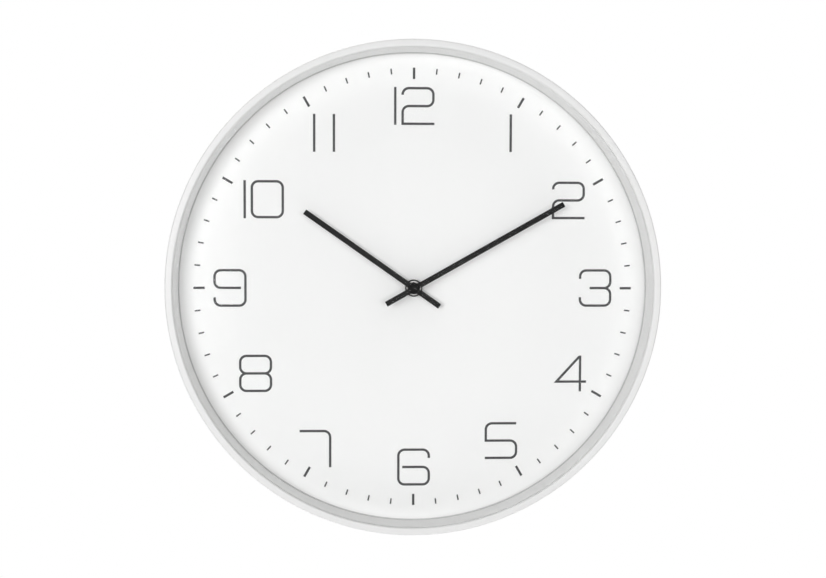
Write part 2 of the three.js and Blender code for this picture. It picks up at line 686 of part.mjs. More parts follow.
// ---------- motor, circuit and cell ----------
// the two-pole stator: a limb around the rotor, and an arm to each end of the coil core
function statorPlate() {
  const armRight = coilX + CORE_HALF_WIDTH;
  const limbLeft = Math.max(rotorPlace.x - MAGNET_RADIUS - 2.2,
    intermediatePlace.x + BEARING_RADIUS + GAP);
  const limbRight = coilX - COIL_RADIUS - GAP;
  const [low, high] = [COIL_BOTTOM - ARM_LENGTH, coilTop + ARM_LENGTH];
  const outline = new THREE.Shape();
  outline.moveTo(limbLeft, low);
  outline.lineTo(armRight, low);
  outline.lineTo(armRight, COIL_BOTTOM - GAP);
  outline.lineTo(limbRight, COIL_BOTTOM - GAP);
  outline.lineTo(limbRight, coilTop + GAP);
  outline.lineTo(armRight, coilTop + GAP);
  outline.lineTo(armRight, high);
  outline.lineTo(limbLeft, high);
  outline.holes.push(circle(MAGNET_RADIUS + MAGNET_CLEARANCE, rotorPlace));
  return plate(outline, inMovement(STATOR_LAYER + STATOR_THICKNESS), inMovement(STATOR_LAYER));
}

function coilCore() {
  return block(coilX - CORE_HALF_WIDTH, coilX + CORE_HALF_WIDTH, COIL_BOTTOM - ARM_LENGTH,
    coilTop + ARM_LENGTH, inMovement(coreDepth + STATOR_THICKNESS), inMovement(coreDepth));
}

// a square-bored spool on the core: a sleeve with a flange at each end
function spoolPart(halfWidth, halfDepth, bottom, top) {
  return block(coilX - halfWidth, coilX + halfWidth, bottom, top,
    inMovement(coilCentreDepth + halfDepth), inMovement(coilCentreDepth - halfDepth));
}
const boreHalfWidth = CORE_HALF_WIDTH + GAP;
const boreHalfDepth = STATOR_THICKNESS / 2 + GAP;

function coilBobbin() {
  const spool = joined(
    spoolPart(boreHalfWidth + SPOOL_WALL, boreHalfDepth + SPOOL_WALL, COIL_BOTTOM, coilTop),
    spoolPart(COIL_RADIUS, COIL_RADIUS, COIL_BOTTOM, COIL_BOTTOM + FLANGE_THICKNESS),
    spoolPart(COIL_RADIUS, COIL_RADIUS, coilTop - FLANGE_THICKNESS, coilTop),
  );
  return cut(spool, spoolPart(boreHalfWidth, boreHalfDepth, COIL_BOTTOM - 1, coilTop + 1));
}

function coilWinding() {
  const inset = FLANGE_THICKNESS + GAP;
  const bottom = COIL_BOTTOM + inset;
  const top = coilTop - inset;
  const inner = new THREE.CylinderGeometry(COIL_RADIUS - 0.2, COIL_RADIUS - 0.2, top - bottom, 20);
  inner.rotateX(Math.PI / 2);
  inner.translate(coilX, -inMovement(coilCentreDepth), (top + bottom) / 2);
  const room = SPOOL_WALL + 0.15;
  return cut(inner, spoolPart(boreHalfWidth + room, boreHalfDepth + room, bottom - 1, top + 1));
}

const boardLeft = WALL + 0.6 - movementRight;
const boardRight = Math.min(BOARD_RIGHT, thirdPlace.x - BEARING_RADIUS - GAP);
const boardDepth = STATOR_LAYER;

function circuitBoard() {
  const top = MOVEMENT_TOP - WALL - 1.8;
  const outline = roundedRectangle(boardLeft, boardRight, BOARD_BOTTOM, top, 0.8);
  const peg = pegPlaces.find(({ x, z }) => x < 0 && z > 0);
  outline.holes.push(circle(PEG_TIP_RADIUS + GAP, peg));
  return plate(outline, inMovement(boardDepth + BOARD_THICKNESS), inMovement(boardDepth));
}

function quartzCrystal() {
  const can = new THREE.CylinderGeometry(CRYSTAL.radius, CRYSTAL.radius, CRYSTAL.length, 16);
  can.rotateX(Math.PI / 2);
  const depth = boardDepth - GAP - CRYSTAL.radius;
  return can.translate(boardLeft + 2.7, -inMovement(depth), CRYSTAL.z + CRYSTAL.length / 2);
}

// a low dome of resin over the timing chip
function timingChip() {
  const base = inMovement(boardDepth - GAP);
  const dome = Array.from({ length: 5 }, (_, i) => {
    const angle = degrees((90 * i) / 4);
    return [CHIP.radius * Math.cos(angle), base + CHIP.height * Math.sin(angle)];
  });
  dome[dome.length - 1][0] = 0;
  return turned([[0, base], ...dome], BUSH_SEGMENTS);
}

const contactFace = movementRight - WALL - GAP;

// the flat strip at one end of the bay, with a tab that goes up into the gear space
function contactStrip(side, tabTop) {
  const span = (from, to) => [Math.min(side * from, side * to), Math.max(side * from, side * to)];
  const [left, right] = span(contactFace - CONTACT_THICKNESS, contactFace);
  const tabRear = inMovement(contactTabDepth + CONTACT_TAB_WIDTH);
  const tabFront = inMovement(contactTabDepth);
  const pad = block(left, right, cellHeight - PAD_HALF, cellHeight + PAD_HALF,
    inMovement(cellDepth + PAD_HALF), inMovement(cellDepth - PAD_HALF));
  return joined(pad, block(left, right, cellHeight, tabTop, tabRear, tabFront));
}

// the cell touches the positive strip, and a flat coil of spring steel fills the room at its other end
const cellX = CELL_LENGTH / 2 + GAP + CONTACT_THICKNESS - contactFace;
const cellEnd = cellX + CELL_LENGTH / 2;
const springLength = contactFace - CONTACT_THICKNESS - GAP - cellEnd;

function negativeContact() {
  const tabTop = cavityBottom + 1.2;
  const rear = inMovement(contactTabDepth + CONTACT_TAB_WIDTH);
  const front = inMovement(contactTabDepth);
  const leadRight = contactFace;
  const leadLeft = boardRight + GAP;
  const cone = new THREE.CylinderGeometry(SPRING.tip, SPRING.base, springLength, 16);
  cone.rotateZ(Math.PI / 2);
  const tipX = contactFace - CONTACT_THICKNESS - springLength;
  cone.translate(tipX + springLength / 2 + 0.1, -inMovement(cellDepth), cellHeight);
  return joined(
    contactStrip(1, tabTop),
    cone,
    block(leadLeft, leadRight, tabTop - CONTACT_THICKNESS, tabTop, rear, front),
    block(leadLeft, leadLeft + CONTACT_THICKNESS, tabTop - CONTACT_THICKNESS, BOARD_BOTTOM + 3,
      rear, front),
  );
}

function positiveContact() {
  return contactStrip(-1, BOARD_BOTTOM - GAP);
}

// an AA cell lying along X with its positive end to the left
function batteryCell() {
  const nubLength = 1.2;
  const nubRadius = 2.6;
  const chamfer = 0.5;
  const body = CELL_LENGTH - nubLength;
  const section = [
    [0, -CELL_LENGTH / 2],
    [nubRadius, -CELL_LENGTH / 2],
    [nubRadius, nubLength - CELL_LENGTH / 2],
    [CELL_RADIUS - chamfer, nubLength - CELL_LENGTH / 2],
    [CELL_RADIUS, nubLength + chamfer - CELL_LENGTH / 2],
    [CELL_RADIUS, nubLength + body - chamfer - CELL_LENGTH / 2],
    [CELL_RADIUS - chamfer, CELL_LENGTH / 2],
    [0, CELL_LENGTH / 2],
  ].map(([radius, along]) => new THREE.Vector2(radius, along));
  const cell = new THREE.LatheGeometry(section, 24);
  return cell.rotateZ(-Math.PI / 2).translate(cellX, -inMovement(cellDepth), cellHeight);
}

// ---------- hand centre ----------
function handShape({ tip, tail }, bore) {
  const half = HAND_WIDTH / 2;
  const reach = Math.sqrt(HAND_BOSS_RADIUS ** 2 - half ** 2);
  const edge = Math.atan2(reach, half);
  const outline = new THREE.Shape();
  outline.moveTo(half, reach);
  outline.lineTo(half, tip);
  outline.lineTo(-half, tip);
  outline.absarc(0, 0, HAND_BOSS_RADIUS, Math.PI - edge, Math.PI + edge);
  outline.lineTo(-half, -tail);
  outline.lineTo(half, -tail);
  outline.absarc(0, 0, HAND_BOSS_RADIUS, -edge, edge);
  outline.holes.push(circle(bore));
  return outline;
}

function hand(size, bore) {
  const rear = dialFace + size.height;
  return plate(handShape(size, bore), rear, rear + HAND_THICKNESS, 4);
}

function dialWasher() {
  const rear = dialFace + GAP;
  return bar(NUT_RADIUS - 0.4, rear, rear + WASHER_THICKNESS, bushHole, NUT_SEGMENTS);
}

function ringNut() {
  const rear = dialFace + 2 * GAP + WASHER_THICKNESS;
  const front = rear + NUT_THICKNESS;
  return turned([
    [bushHole, rear],
    [NUT_RADIUS, rear],
    [NUT_RADIUS, front - NUT_CHAMFER],
    [NUT_RADIUS - NUT_CHAMFER, front],
    [bushHole, front],
  ], NUT_SEGMENTS);
}

// a closed cap nut with a low dome
function capNut() {
  const rear = dialFace + MINUTE_HAND.height + HAND_THICKNESS + GAP;
  const bore = THREAD_RADIUS + GAP;
  const domeRear = rear + (1 - CAP_DOME) * CAP_HEIGHT;
  const dome = arc(0, 0, 1, 0, 90, 4).map(([across, up]) =>
    [across * CAP_RADIUS, domeRear + up * CAP_DOME * CAP_HEIGHT]);
  dome[dome.length - 1][0] = 0;
  return turned([
    [bore, rear],
    [CAP_RADIUS, rear],
    ...dome,
    [0, domeRear],
    [bore, domeRear],
  ], 28);
}

// ---------- place every piece ----------
add("case_shell", caseShell(), whiteCoat);
add("glass_lens", turned([[0, glassRear], [fitRadius, glassRear], [fitRadius, glassFront],
  [0, glassFront]]), clearGlass);
add("inner_ring", innerRing(), whiteCoat);
add("dial", dial(), dialWhite);
add("rear_ring", rearRing(), backWhite);
add("back_plate", backPlate(), backWhite);
screwPlaces.forEach((place, i) => add(`back_screw_${i + 1}`, backScrew(), zincSteel, place));
add("hanger_plate", hangerPlate(), zincSteel);
rivetPlaces.forEach((place, i) => add(`hanger_rivet_${i + 1}`, hangerRivet(), steel, place));

add("movement_housing", movementHousing(), blackPlastic);
add("movement_cover", movementCover(), blackPlastic);
add("middle_plate", middlePlate(), blackPlastic);
add("dial_washer", dialWasher(), rubber);
add("ring_nut", ringNut(), steel);
add("positive_contact", positiveContact(), zincSteel);
add("negative_contact", negativeContact(), zincSteel);
add("circuit_board", circuitBoard(), boardGreen);
add("quartz_crystal", quartzCrystal(), steel);
add("timing_chip", timingChip(), blackPlastic, { x: boardRight - 4.6, z: CHIP.z });
add("stator_plate", statorPlate(), steel);
add("coil_core", coilCore(), steel);
add("coil_bobbin", coilBobbin(), gearPlastic);
add("coil_winding", coilWinding(), copperWire);
add("battery_cell", batteryCell(), cellGrey);

// the going train, each wheel turned so that its teeth meet those of the wheel before it
const rotorTurn = 0;
const intermediateTurn = meshTurn(TEETH.rotor, rotorTurn, TEETH.intermediate, ROTOR_ANGLE + 180);
const secondsTurn = meshTurn(
  TEETH.intermediatePinion, intermediateTurn, TEETH.seconds, INTERMEDIATE_ANGLE + 180);
const thirdTurn = meshTurn(TEETH.secondsPinion, secondsTurn, TEETH.third, THIRD_ANGLE);
const centreTurn = meshTurn(TEETH.thirdPinion, thirdTurn, TEETH.centre, THIRD_ANGLE + 180);
add("rotor_pinion", rotorPinion(), gearPlastic, rotorPlace, rotorTurn);
add("rotor_magnet", rotorMagnet(), magnetGrey, rotorPlace, rotorTurn);
add("intermediate_wheel", intermediateWheel(), gearPlastic, intermediatePlace, intermediateTurn);
add("seconds_wheel", secondsWheel(), gearPlastic, AXIS, secondsTurn);
add("third_wheel", thirdWheel(), gearPlastic, thirdPlace, thirdTurn);
add("centre_wheel", centreWheel(), gearPlastic, AXIS, centreTurn);

// the motion work and the hands
const cannonTurn = 0;
const worksTurn = meshTurn(TEETH.cannon, cannonTurn, TEETH.works, WORKS_ANGLE);
const hourTurn = meshTurn(TEETH.worksPinion, worksTurn, TEETH.hour, WORKS_ANGLE + 180);
const knobTurn = meshTurn(TEETH.works, worksTurn, TEETH.knob, KNOB_ANGLE);
add("minute_arbor", minuteArbor(), brass, AXIS, cannonTurn);
add("minute_works_wheel", worksWheel(), gearPlastic, worksPlace, worksTurn);
add("hour_wheel", hourWheel(), gearPlastic, AXIS, hourTurn);
add("setting_knob", settingKnob(), gearPlastic, knobPlace, knobTurn);
add("hour_hand", hand(HOUR_HAND, tubeRadius + GAP), handBlack, AXIS, degrees(HOUR_HAND.turn));
add("minute_hand", hand(MINUTE_HAND, THREAD_RADIUS + GAP), handBlack, AXIS, degrees(MINUTE_HAND.turn));
add("cap_nut", capNut(), handBlack);

const wallClock = new THREE.Group();
wallClock.add(clock);
export default wallClock;
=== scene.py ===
from itertools import pairwise
from math import acos, cos, pi, radians, sin, tan

import bmesh
import bpy
from mathutils import Matrix, Vector


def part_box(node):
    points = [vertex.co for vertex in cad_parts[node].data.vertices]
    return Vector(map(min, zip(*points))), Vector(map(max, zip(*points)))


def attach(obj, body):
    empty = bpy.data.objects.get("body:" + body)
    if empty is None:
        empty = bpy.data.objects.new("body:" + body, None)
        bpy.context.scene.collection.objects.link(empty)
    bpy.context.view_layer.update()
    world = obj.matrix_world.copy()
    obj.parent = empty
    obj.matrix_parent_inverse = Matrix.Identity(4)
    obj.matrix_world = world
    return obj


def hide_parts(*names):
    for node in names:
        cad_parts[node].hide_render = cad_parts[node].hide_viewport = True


bl_info = {
    "name": "Wall Clock",
    "version": (1, 0, 0),
    "blender": (4, 5, 0),
    "location": "3D View > Sidebar > Wall Clock",
    "description": "Builds a round white wall clock with its dial, hands and movement",
    "category": "Object",
}

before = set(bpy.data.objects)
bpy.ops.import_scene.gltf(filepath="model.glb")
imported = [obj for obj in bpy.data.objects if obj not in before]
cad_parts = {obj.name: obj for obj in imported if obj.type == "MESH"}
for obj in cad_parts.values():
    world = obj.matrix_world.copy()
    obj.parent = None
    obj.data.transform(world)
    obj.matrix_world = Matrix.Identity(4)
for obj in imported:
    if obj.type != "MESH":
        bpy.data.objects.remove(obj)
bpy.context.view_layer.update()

# ---------- sizes from the frame, in millimetres ----------
# x is to the right of the hand axis, front is in front of the wall, and up is above the hand axis.
MM = 0.001
AXIS_Z = sum(corner.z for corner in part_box("cap_nut")) / 2


def reach(node):
    """A CAD node's box in millimetres: left, right, rear, front, bottom, top."""
    low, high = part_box(node)
    return (low.x / MM, high.x / MM, -high.y / MM, -low.y / MM,
            (low.z - AXIS_Z) / MM, (high.z - AXIS_Z) / MM)


CASE_RADIUS = reach("case_shell")[1]
CASE_FRONT = reach("case_shell")[3]
LENS_REAR, LENS_FRONT = reach("glass_lens")[2:4]
FIT_RADIUS = reach("dial")[1]
DIAL_REAR, DIAL_FACE = reach("dial")[2:4]
RING_REAR, RING_FRONT = reach("inner_ring")[2:4]
SHEET = 1.2  # the case's steel
LIP_WIDTH = 5.4
LIP_INNER = CASE_RADIUS - LIP_WIDTH
GAP = 0.3  # between pieces that rest on each other
BITE = 1  # how far a cutter stands out of what it cuts

BUSH_HOLE = 4.2  # radius through the dial, the washer and the nut
HAND_WIDTH = 4.0
HAND_BOSS = 4.0  # radius

HANG_UP = 120  # wall screw above the hand axis
KEYHOLE_SLOT = 2.5  # radius
KEYHOLE_ENTRY = 5  # radius
KEYHOLE_DROP = 14  # from the slot's top end down to the entry
SCREW_LENGTH = 4.6
SCREWS = 6
SHANK = 1.1  # radius of a screw or a rivet

REAR_RING_WALL = 3.0
LEDGE_WIDTH = 7.4
LEDGE_THICKNESS = 4
WINDOW_CLEARANCE = 2
BEADS = (62, 148)  # inner radius of each raised ring on the back plate

RING_STEPS = 192  # round a ring as large as the case
HUB_STEPS = 72  # round the hand centre
SMALL_STEPS = 32  # round a screw or a pin
CREASE = 35  # degrees between faces, above which an edge stays sharp
CUT_CREASE = 50  # the same on a piece that a cutter went through


# ---------- modelling ----------
def at(x, front, up=0.0):
    """The point that lies x, front and up millimetres from the hand axis and the wall."""
    return Vector((x * MM, -front * MM, AXIS_Z + up * MM))


def choose(*pieces):
    """Selects only the pieces given, the first one active."""
    bpy.ops.object.select_all(action="DESELECT")
    for piece in pieces:
        piece.select_set(True)
    bpy.context.view_layer.objects.active = pieces[0]


def pick(kind, test):
    """Selects, in edit mode, the vertices, edges or faces that pass a test."""
    bpy.ops.mesh.select_mode(type=kind)
    bpy.ops.mesh.select_all(action="DESELECT")
    mesh = bpy.context.edit_object.data
    shape = bmesh.from_edit_mesh(mesh)
    for item in {"VERT": shape.verts, "EDGE": shape.edges, "FACE": shape.faces}[kind]:
        item.select_set(test(item))
    bmesh.update_edit_mesh(mesh)


def settle(name):
    """Ends edit mode on a new piece, with its place in its mesh and its faces outwards."""
    bpy.ops.mesh.select_all(action="SELECT")
    bpy.ops.mesh.normals_make_consistent(inside=False)
    bpy.ops.object.mode_set(mode="OBJECT")
    piece = bpy.context.object
    piece.name = name
    piece.data.name = name
    bpy.ops.object.transform_apply(location=True, rotation=True, scale=True)
    return piece


def turned(name, section, steps=RING_STEPS, hollow=True, place=(0, 0)):
    """A round piece: a circle extruded and resized through a section of radius and front."""
    x, up = place
    radius, front = section[0]
    bpy.ops.object.select_all(action="DESELECT")
    bpy.ops.mesh.primitive_circle_add(
        vertices=steps, radius=radius * MM, location=at(x, front, up),
        rotation=(pi / 2, 0, 0), enter_editmode=True)
    for (radius, front), (wider, further) in pairwise(section):
        bpy.ops.mesh.extrude_region_move(
            TRANSFORM_OT_translate={"value": (0, (front - further) * MM, 0)})
        if wider != radius:
            scale = wider / radius
            bpy.ops.transform.resize(
                value=(scale, 1, scale), center_override=at(x, further, up))
    if hollow:
        pick("EDGE", lambda edge: edge.is_boundary)
        bpy.ops.mesh.bridge_edge_loops()
    else:
        bpy.ops.mesh.select_all(action="SELECT")
        bpy.ops.mesh.fill_holes(sides=0)
    return settle(name)


def trail(points, front):
    """A chain of vertices at one depth, left in edit mode, drawn by extruding a single vertex."""
    bpy.ops.object.select_all(action="DESELECT")
    x, up = points[0]
    bpy.ops.mesh.primitive_plane_add(size=MM, location=at(x, front, up), enter_editmode=True)
    bpy.ops.mesh.merge(type="CENTER")
    bpy.ops.mesh.select_all(action="SELECT")
    for (x, up), (next_x, next_up) in pairwise(points):
        bpy.ops.mesh.extrude_vertices_move(
            TRANSFORM_OT_translate={"value": ((next_x - x) * MM, 0, (next_up - up) * MM)})
    bpy.ops.mesh.select_all(action="SELECT")
    bpy.ops.mesh.remove_doubles(threshold=0.001 * MM)


def push(depth):
    """Extrudes what is selected towards the front by a depth in millimetres."""
    bpy.ops.mesh.extrude_region_move(TRANSFORM_OT_translate={"value": (0, -depth * MM, 0)})


def rounded(corners, steps=8, closed=False):
    """Points along straight lines through corners of x, up and radius, with an arc at each."""
    count = len(corners)
    points = []
    for i, (x, up, radius) in enumerate(corners):
        if not radius or (not closed and i in (0, count - 1)):
            points.append((x, up))
            continue
        here = Vector((x, up))
        before = (Vector(corners[i - 1][:2]) - here).normalized()
        after = (Vector(corners[(i + 1) % count][:2]) - here).normalized()
        half = before.angle(after) / 2
        centre = here + (before + after).normalized() * (radius / sin(half))
        first = here + before * (radius / tan(half)) - centre
        turn = first.angle_signed(here + after * (radius / tan(half)) - centre)
        for step in range(steps + 1):
            angle = -turn * step / steps
            points.append((centre.x + first.x * cos(angle) - first.y * sin(angle),
                           centre.y + first.x * sin(angle) + first.y * cos(angle)))
    if closed:
        points.append(points[0])
    return points


def plate(name, outline, rear, front):
    """A flat piece with a closed outline of x and up."""
    trail(outline, rear)
    bpy.ops.mesh.edge_face_add()
    push(front - rear)
    return settle(name)


def block(name, left, right, bottom, top, rear, front):
    """A box between two limits along each axis."""
    bpy.ops.object.select_all(action="DESELECT")
    middle = at((left + right) / 2, (rear + front) / 2, (bottom + top) / 2)
    bpy.ops.mesh.primitive_cube_add(size=MM, location=middle, enter_editmode=True)
    bpy.ops.transform.resize(value=(right - left, front - rear, top - bottom), center_override=middle)
    return settle(name)


def modify(piece, kind, **settings):
    """Adds a modifier with its settings and applies it."""
    choose(piece)
    bpy.ops.object.modifier_add(type=kind)
    modifier = piece.modifiers[-1]
    for key, value in settings.items():
        setattr(modifier, key, value)
    bpy.ops.object.modifier_apply(modifier=modifier.name)


def soften(piece, width, segments=2, angle=CREASE):
    """Rounds every edge that is sharper than an angle."""
    modify(piece, "BEVEL", width=width * MM, segments=segments, limit_method="ANGLE",
           angle_limit=radians(angle), use_clamp_overlap=True)


def carve(piece, *cutters):
    """Cuts each cutter out of a piece."""
    for cutter in cutters:
        modify(piece, "BOOLEAN", operation="DIFFERENCE", solver="EXACT", object=cutter)
        bpy.data.objects.remove(cutter)


def copies(piece, turns):
    """Copies of a piece, each with its own mesh, turned clockwise about the hand axis."""
    made = []
    for clockwise in turns:
        copy = piece.copy()
        copy.data = piece.data.copy()
        bpy.context.scene.collection.objects.link(copy)
        there = Matrix.Translation(at(0, 0)) @ Matrix.Rotation(radians(clockwise), 4, "Y")
        copy.matrix_world = there @ Matrix.Translation(-at(0, 0))
        made.append(copy)
    choose(*made)
    bpy.ops.object.transform_apply(location=True, rotation=True, scale=True)
    return made


def merge(name, pieces):
    """Joins pieces into one, by the name given."""
    choose(*pieces)
    if len(pieces) > 1:
        bpy.ops.object.join()
    piece = bpy.context.object
    piece.name = name
    piece.data.name = name
    return piece


def finish(piece, finish_of, body, stands_for=(), angle=CREASE):
    """Gives a piece its finish and its body, and hides the CAD nodes it stands for."""
    piece.data.materials.clear()
    piece.data.materials.append(finish_of)
    choose(piece)
    bpy.ops.object.shade_smooth_by_angle(angle=radians(angle))
    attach(piece, body)
    if stands_for:
        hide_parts(*stands_for)
    return piece


# ---------- finishes ----------
class Wire:
    """A socket in a material. An expression on wires and numbers adds its Math nodes."""

    def __init__(self, tree, socket):
        self.tree = tree
        self.socket = socket

    def math(self, operation, *values, clamp=False):
        node = self.tree.nodes.new("ShaderNodeMath")
        node.operation = operation
        node.use_clamp = clamp
        for socket, value in zip(node.inputs, values):
            feed(self.tree, socket, value)
        return Wire(self.tree, node.outputs[0])

    def __add__(self, other):
        return self.math("ADD", self, other)

    def __radd__(self, other):
        return self.math("ADD", other, self)

    def __sub__(self, other):
        return self.math("SUBTRACT", self, other)

    def __rsub__(self, other):
        return self.math("SUBTRACT", other, self)

    def __mul__(self, other):
        return self.math("MULTIPLY", self, other)

    def __rmul__(self, other):
        return self.math("MULTIPLY", other, self)

    def above(self, edge, soft):
        """0 below an edge, 1 above it, and a ramp of a soft width between."""
        return self.math("MULTIPLY", self - (edge - soft / 2), 1 / soft, clamp=True)

    def wave(self):
        return self.math("SINE", self)

    def root(self):
        return self.math("SQRT", self)


def feed(tree, socket, value):
    """Gives a socket a link, a colour or a plain value."""
    if isinstance(value, Wire):
        tree.links.new(value.socket, socket)
    elif isinstance(value, (tuple, list)) and len(value) == 3 and socket.type == "RGBA":
        socket.default_value = (*value, 1)
    else:
        socket.default_value = value


class Finish:
    """A material in the making, with its shader and the one way to add a node to it."""

    def __init__(self, name, colour, roughness, **constants):
        self.material = bpy.data.materials.new(name)
        self.material.use_nodes = True
        self.material.diffuse_color = (*colour, 1)
        self.tree = self.material.node_tree
        self.shader = self.tree.nodes["Principled BSDF"]
        self.set(Base_Color=colour, Roughness=roughness, **constants)

    def set(self, **values):
        for name, value in values.items():
            feed(self.tree, self.shader.inputs[name.replace("_", " ")], value)

    def node(self, kind, output, settings, inputs):
        """Adds a node, with its settings first and its sockets' values next; gives one output."""
        node = self.tree.nodes.new("ShaderNode" + kind)
        for name, value in settings.items():
            setattr(node, name, value)
        for name, value in inputs.items():
            feed(self.tree, node.inputs[name], value)
        return Wire(self.tree, node.outputs[output])

    def place(self, scale=(1, 1, 1), centre=(0, 0, 0)):
        """Object coordinates, moved so that a centre is at nought and then scaled."""
        where = self.node("TexCoord", "Object", {}, {})
        moved = self.node("VectorMath", 0, {"operation": "SUBTRACT"}, {0: where, 1: centre})
        return self.node("VectorMath", 0, {"operation": "MULTIPLY"}, {0: moved, 1: scale})

    def axes(self, place):
        """The three numbers of a place."""
        node = self.tree.nodes.new("ShaderNodeSeparateXYZ")
        feed(self.tree, node.inputs[0], place)
        return [Wire(self.tree, output) for output in node.outputs]

    def radius(self):
        """The distance in metres from the hand axis."""
        x, _, up = self.axes(self.place(centre=at(0, 0)))
        return (x * x + up * up).root()

    def noise(self, per_metre, detail=2.0, place=None):
        return self.node("TexNoise", "Fac", {"noise_dimensions": "3D"},
                         {"Vector": place or self.place(), "Scale": per_metre,
                          "Detail": detail, "Roughness": 0.5})

    def cells(self, per_metre):
        return self.node("TexVoronoi", "Distance", {"feature": "F1"},
                         {"Vector": self.place(), "Scale": per_metre})

    def mix(self, share, first, second):
        """A colour between two, by a share from 0 to 1."""
        return self.node("Mix", 2, {"data_type": "RGBA"}, {0: share, 6: first, 7: second})

    def relief(self, height, depth):
        """Bump of a depth in millimetres, on the Normal socket."""
        bump = self.node("Bump", "Normal", {},
                         {"Height": height, "Distance": depth * MM, "Strength": 1.0})
        self.set(Normal=bump)


def shade(colour, factor):
    """A colour made lighter or darker by a factor."""
    return tuple(min(1.0, channel * factor) for channel in colour)


def coat(name, colour, roughness, grain, depth, spread=0.02, specular=0.5, rim=None):
    """A sprayed coat: a fine orange peel, a slow drift, and, beyond a rim's radius, a darker painted
    shade.
    """
    made = Finish(name, colour, roughness, Specular_IOR_Level=specular)
    drift = made.noise(14, 2)
    peel = made.noise(grain, 3)
    tone = drift * 0.7 + peel * 0.3
    face = made.mix(tone, shade(colour, 1 - spread), shade(colour, 1 + spread))
    # the rim darkens the colour beyond a radius: painted shade standing in for the shadow in a seam
    if rim:
        beyond = made.radius().above(rim[0] * MM, 0.3 * MM)
        face = made.mix(beyond, face, shade(colour, rim[1]))
    made.set(Base_Color=face, Roughness=roughness - 0.05 + peel * 0.1)
    made.relief(peel, depth)
    return made.material


def moulding(name, colour, roughness, grain=2600, depth=0.02, spread=0.06):
    """A moulded plastic with the fine pitted grain of a spark-eroded mould."""
    made = Finish(name, colour, roughness)
    pits = made.cells(grain)
    cloud = made.noise(60, 3)
    made.set(Base_Color=made.mix(cloud, shade(colour, 1 - spread), shade(colour, 1 + spread)),
             Roughness=roughness - 0.06 + made.noise(420, 2) * 0.12)
    made.relief(pits * 0.6 + made.noise(grain * 0.6, 2) * 0.4, depth)
    return made.material


def plated(name, colour, roughness, stretch, grain=900):
    """A plated or rolled metal: fine streaks along one axis and cloudy patches."""
    depth, spread = 0.01, 0.12
    made = Finish(name, colour, roughness, Metallic=1.0)
    streaks = made.noise(grain, 4, made.place(stretch))
    cloud = made.noise(160, 3)
    tone = streaks * 0.5 + cloud * 0.5
    made.set(Base_Color=made.mix(tone, shade(colour, 1 - spread), shade(colour, 1 + spread)),
             Roughness=roughness - 0.08 + streaks * 0.16)
    made.relief(streaks, depth)
    return made.material


def spun(name, colour, roughness, metallic=1.0, specular=0.5, edge=None):
    """A turned finish: fine rings about the hand axis, and beyond an edge's radius a darker colour,
    painted shade and dark reflection.
    """
    rings, depth, spread = 9000, 0.004, 0.08
    made = Finish(name, colour, roughness, Metallic=metallic, Specular_IOR_Level=specular)
    radius = made.radius()
    turning = (radius * rings + made.noise(700, 2) * 2).wave() * 0.5 + 0.5
    cloud = made.noise(500, 3)
    face = made.mix(cloud, shade(colour, 1 - spread), shade(colour, 1 + spread))
    # beyond the edge's radius the colour is darkened: painted shade and dark reflection on an outer
    # chamfer
    if edge:
        face = made.mix(radius.above(edge[0] * MM, 0.3 * MM), face, shade(colour, edge[1]))
    made.set(Base_Color=face, Roughness=roughness - 0.05 + turning * 0.1)
    made.relief(turning, depth)
    return made.material


def clear_glass(name, tint, mirror):
    """A pane that lets light straight through and mirrors a little, with a faint bloom."""
    made = Finish(name, tint, 0.02)
    through = made.node("BsdfTransparent", "BSDF", {}, {"Color": tint})
    bloom = made.noise(30, 3)
    gloss = made.node("BsdfGlossy", "BSDF", {},
                      {"Color": (1.0, 1.0, 1.0), "Roughness": 0.015})
    share = made.node("Fresnel", "Fac", {}, {"IOR": mirror}) * (0.92 + bloom * 0.08)
    pane = made.node("MixShader", 0, {}, {0: share, 1: through, 2: gloss})
    output = made.tree.nodes["Material Output"]
    made.tree.links.new(pane.socket, output.inputs["Surface"])
    made.tree.nodes.remove(made.shader)
    return made.material


# ---------- what a user would change ----------
class ClockSizes(bpy.types.PropertyGroup):
    lip_round: bpy.props.FloatProperty(
        name="Lip rounding", description="Radius of the front lip's inner edge",
        default=0.0012, min=0.0002, unit="LENGTH")
    rim_round: bpy.props.FloatProperty(
        name="Rim rounding", description="Radius of the case's outer front edge",
        default=0.0012, min=0.0002, unit="LENGTH")
    ink_height: bpy.props.FloatProperty(
        name="Ink height", description="Height of the printed marks above the dial",
        default=0.00004, min=0.00001, unit="LENGTH")
    stroke: bpy.props.FloatProperty(
        name="Numeral stroke", description="Width of the lines of the numerals",
        default=0.0018, min=0.0004, unit="LENGTH")
    mark_circle: bpy.props.FloatProperty(
        name="Mark circle", description="Radius to the outer ends of the minute marks",
        default=0.1634, min=0.05, unit="LENGTH")
    hour_mark: bpy.props.FloatVectorProperty(
        name="Hour mark", description="Width and length of a mark at an hour",
        size=2, default=(0.0018, 0.0084), unit="LENGTH")
    minute_mark: bpy.props.FloatVectorProperty(
        name="Minute mark", description="Width and length of a mark at a minute",
        size=2, default=(0.0011, 0.0042), unit="LENGTH")


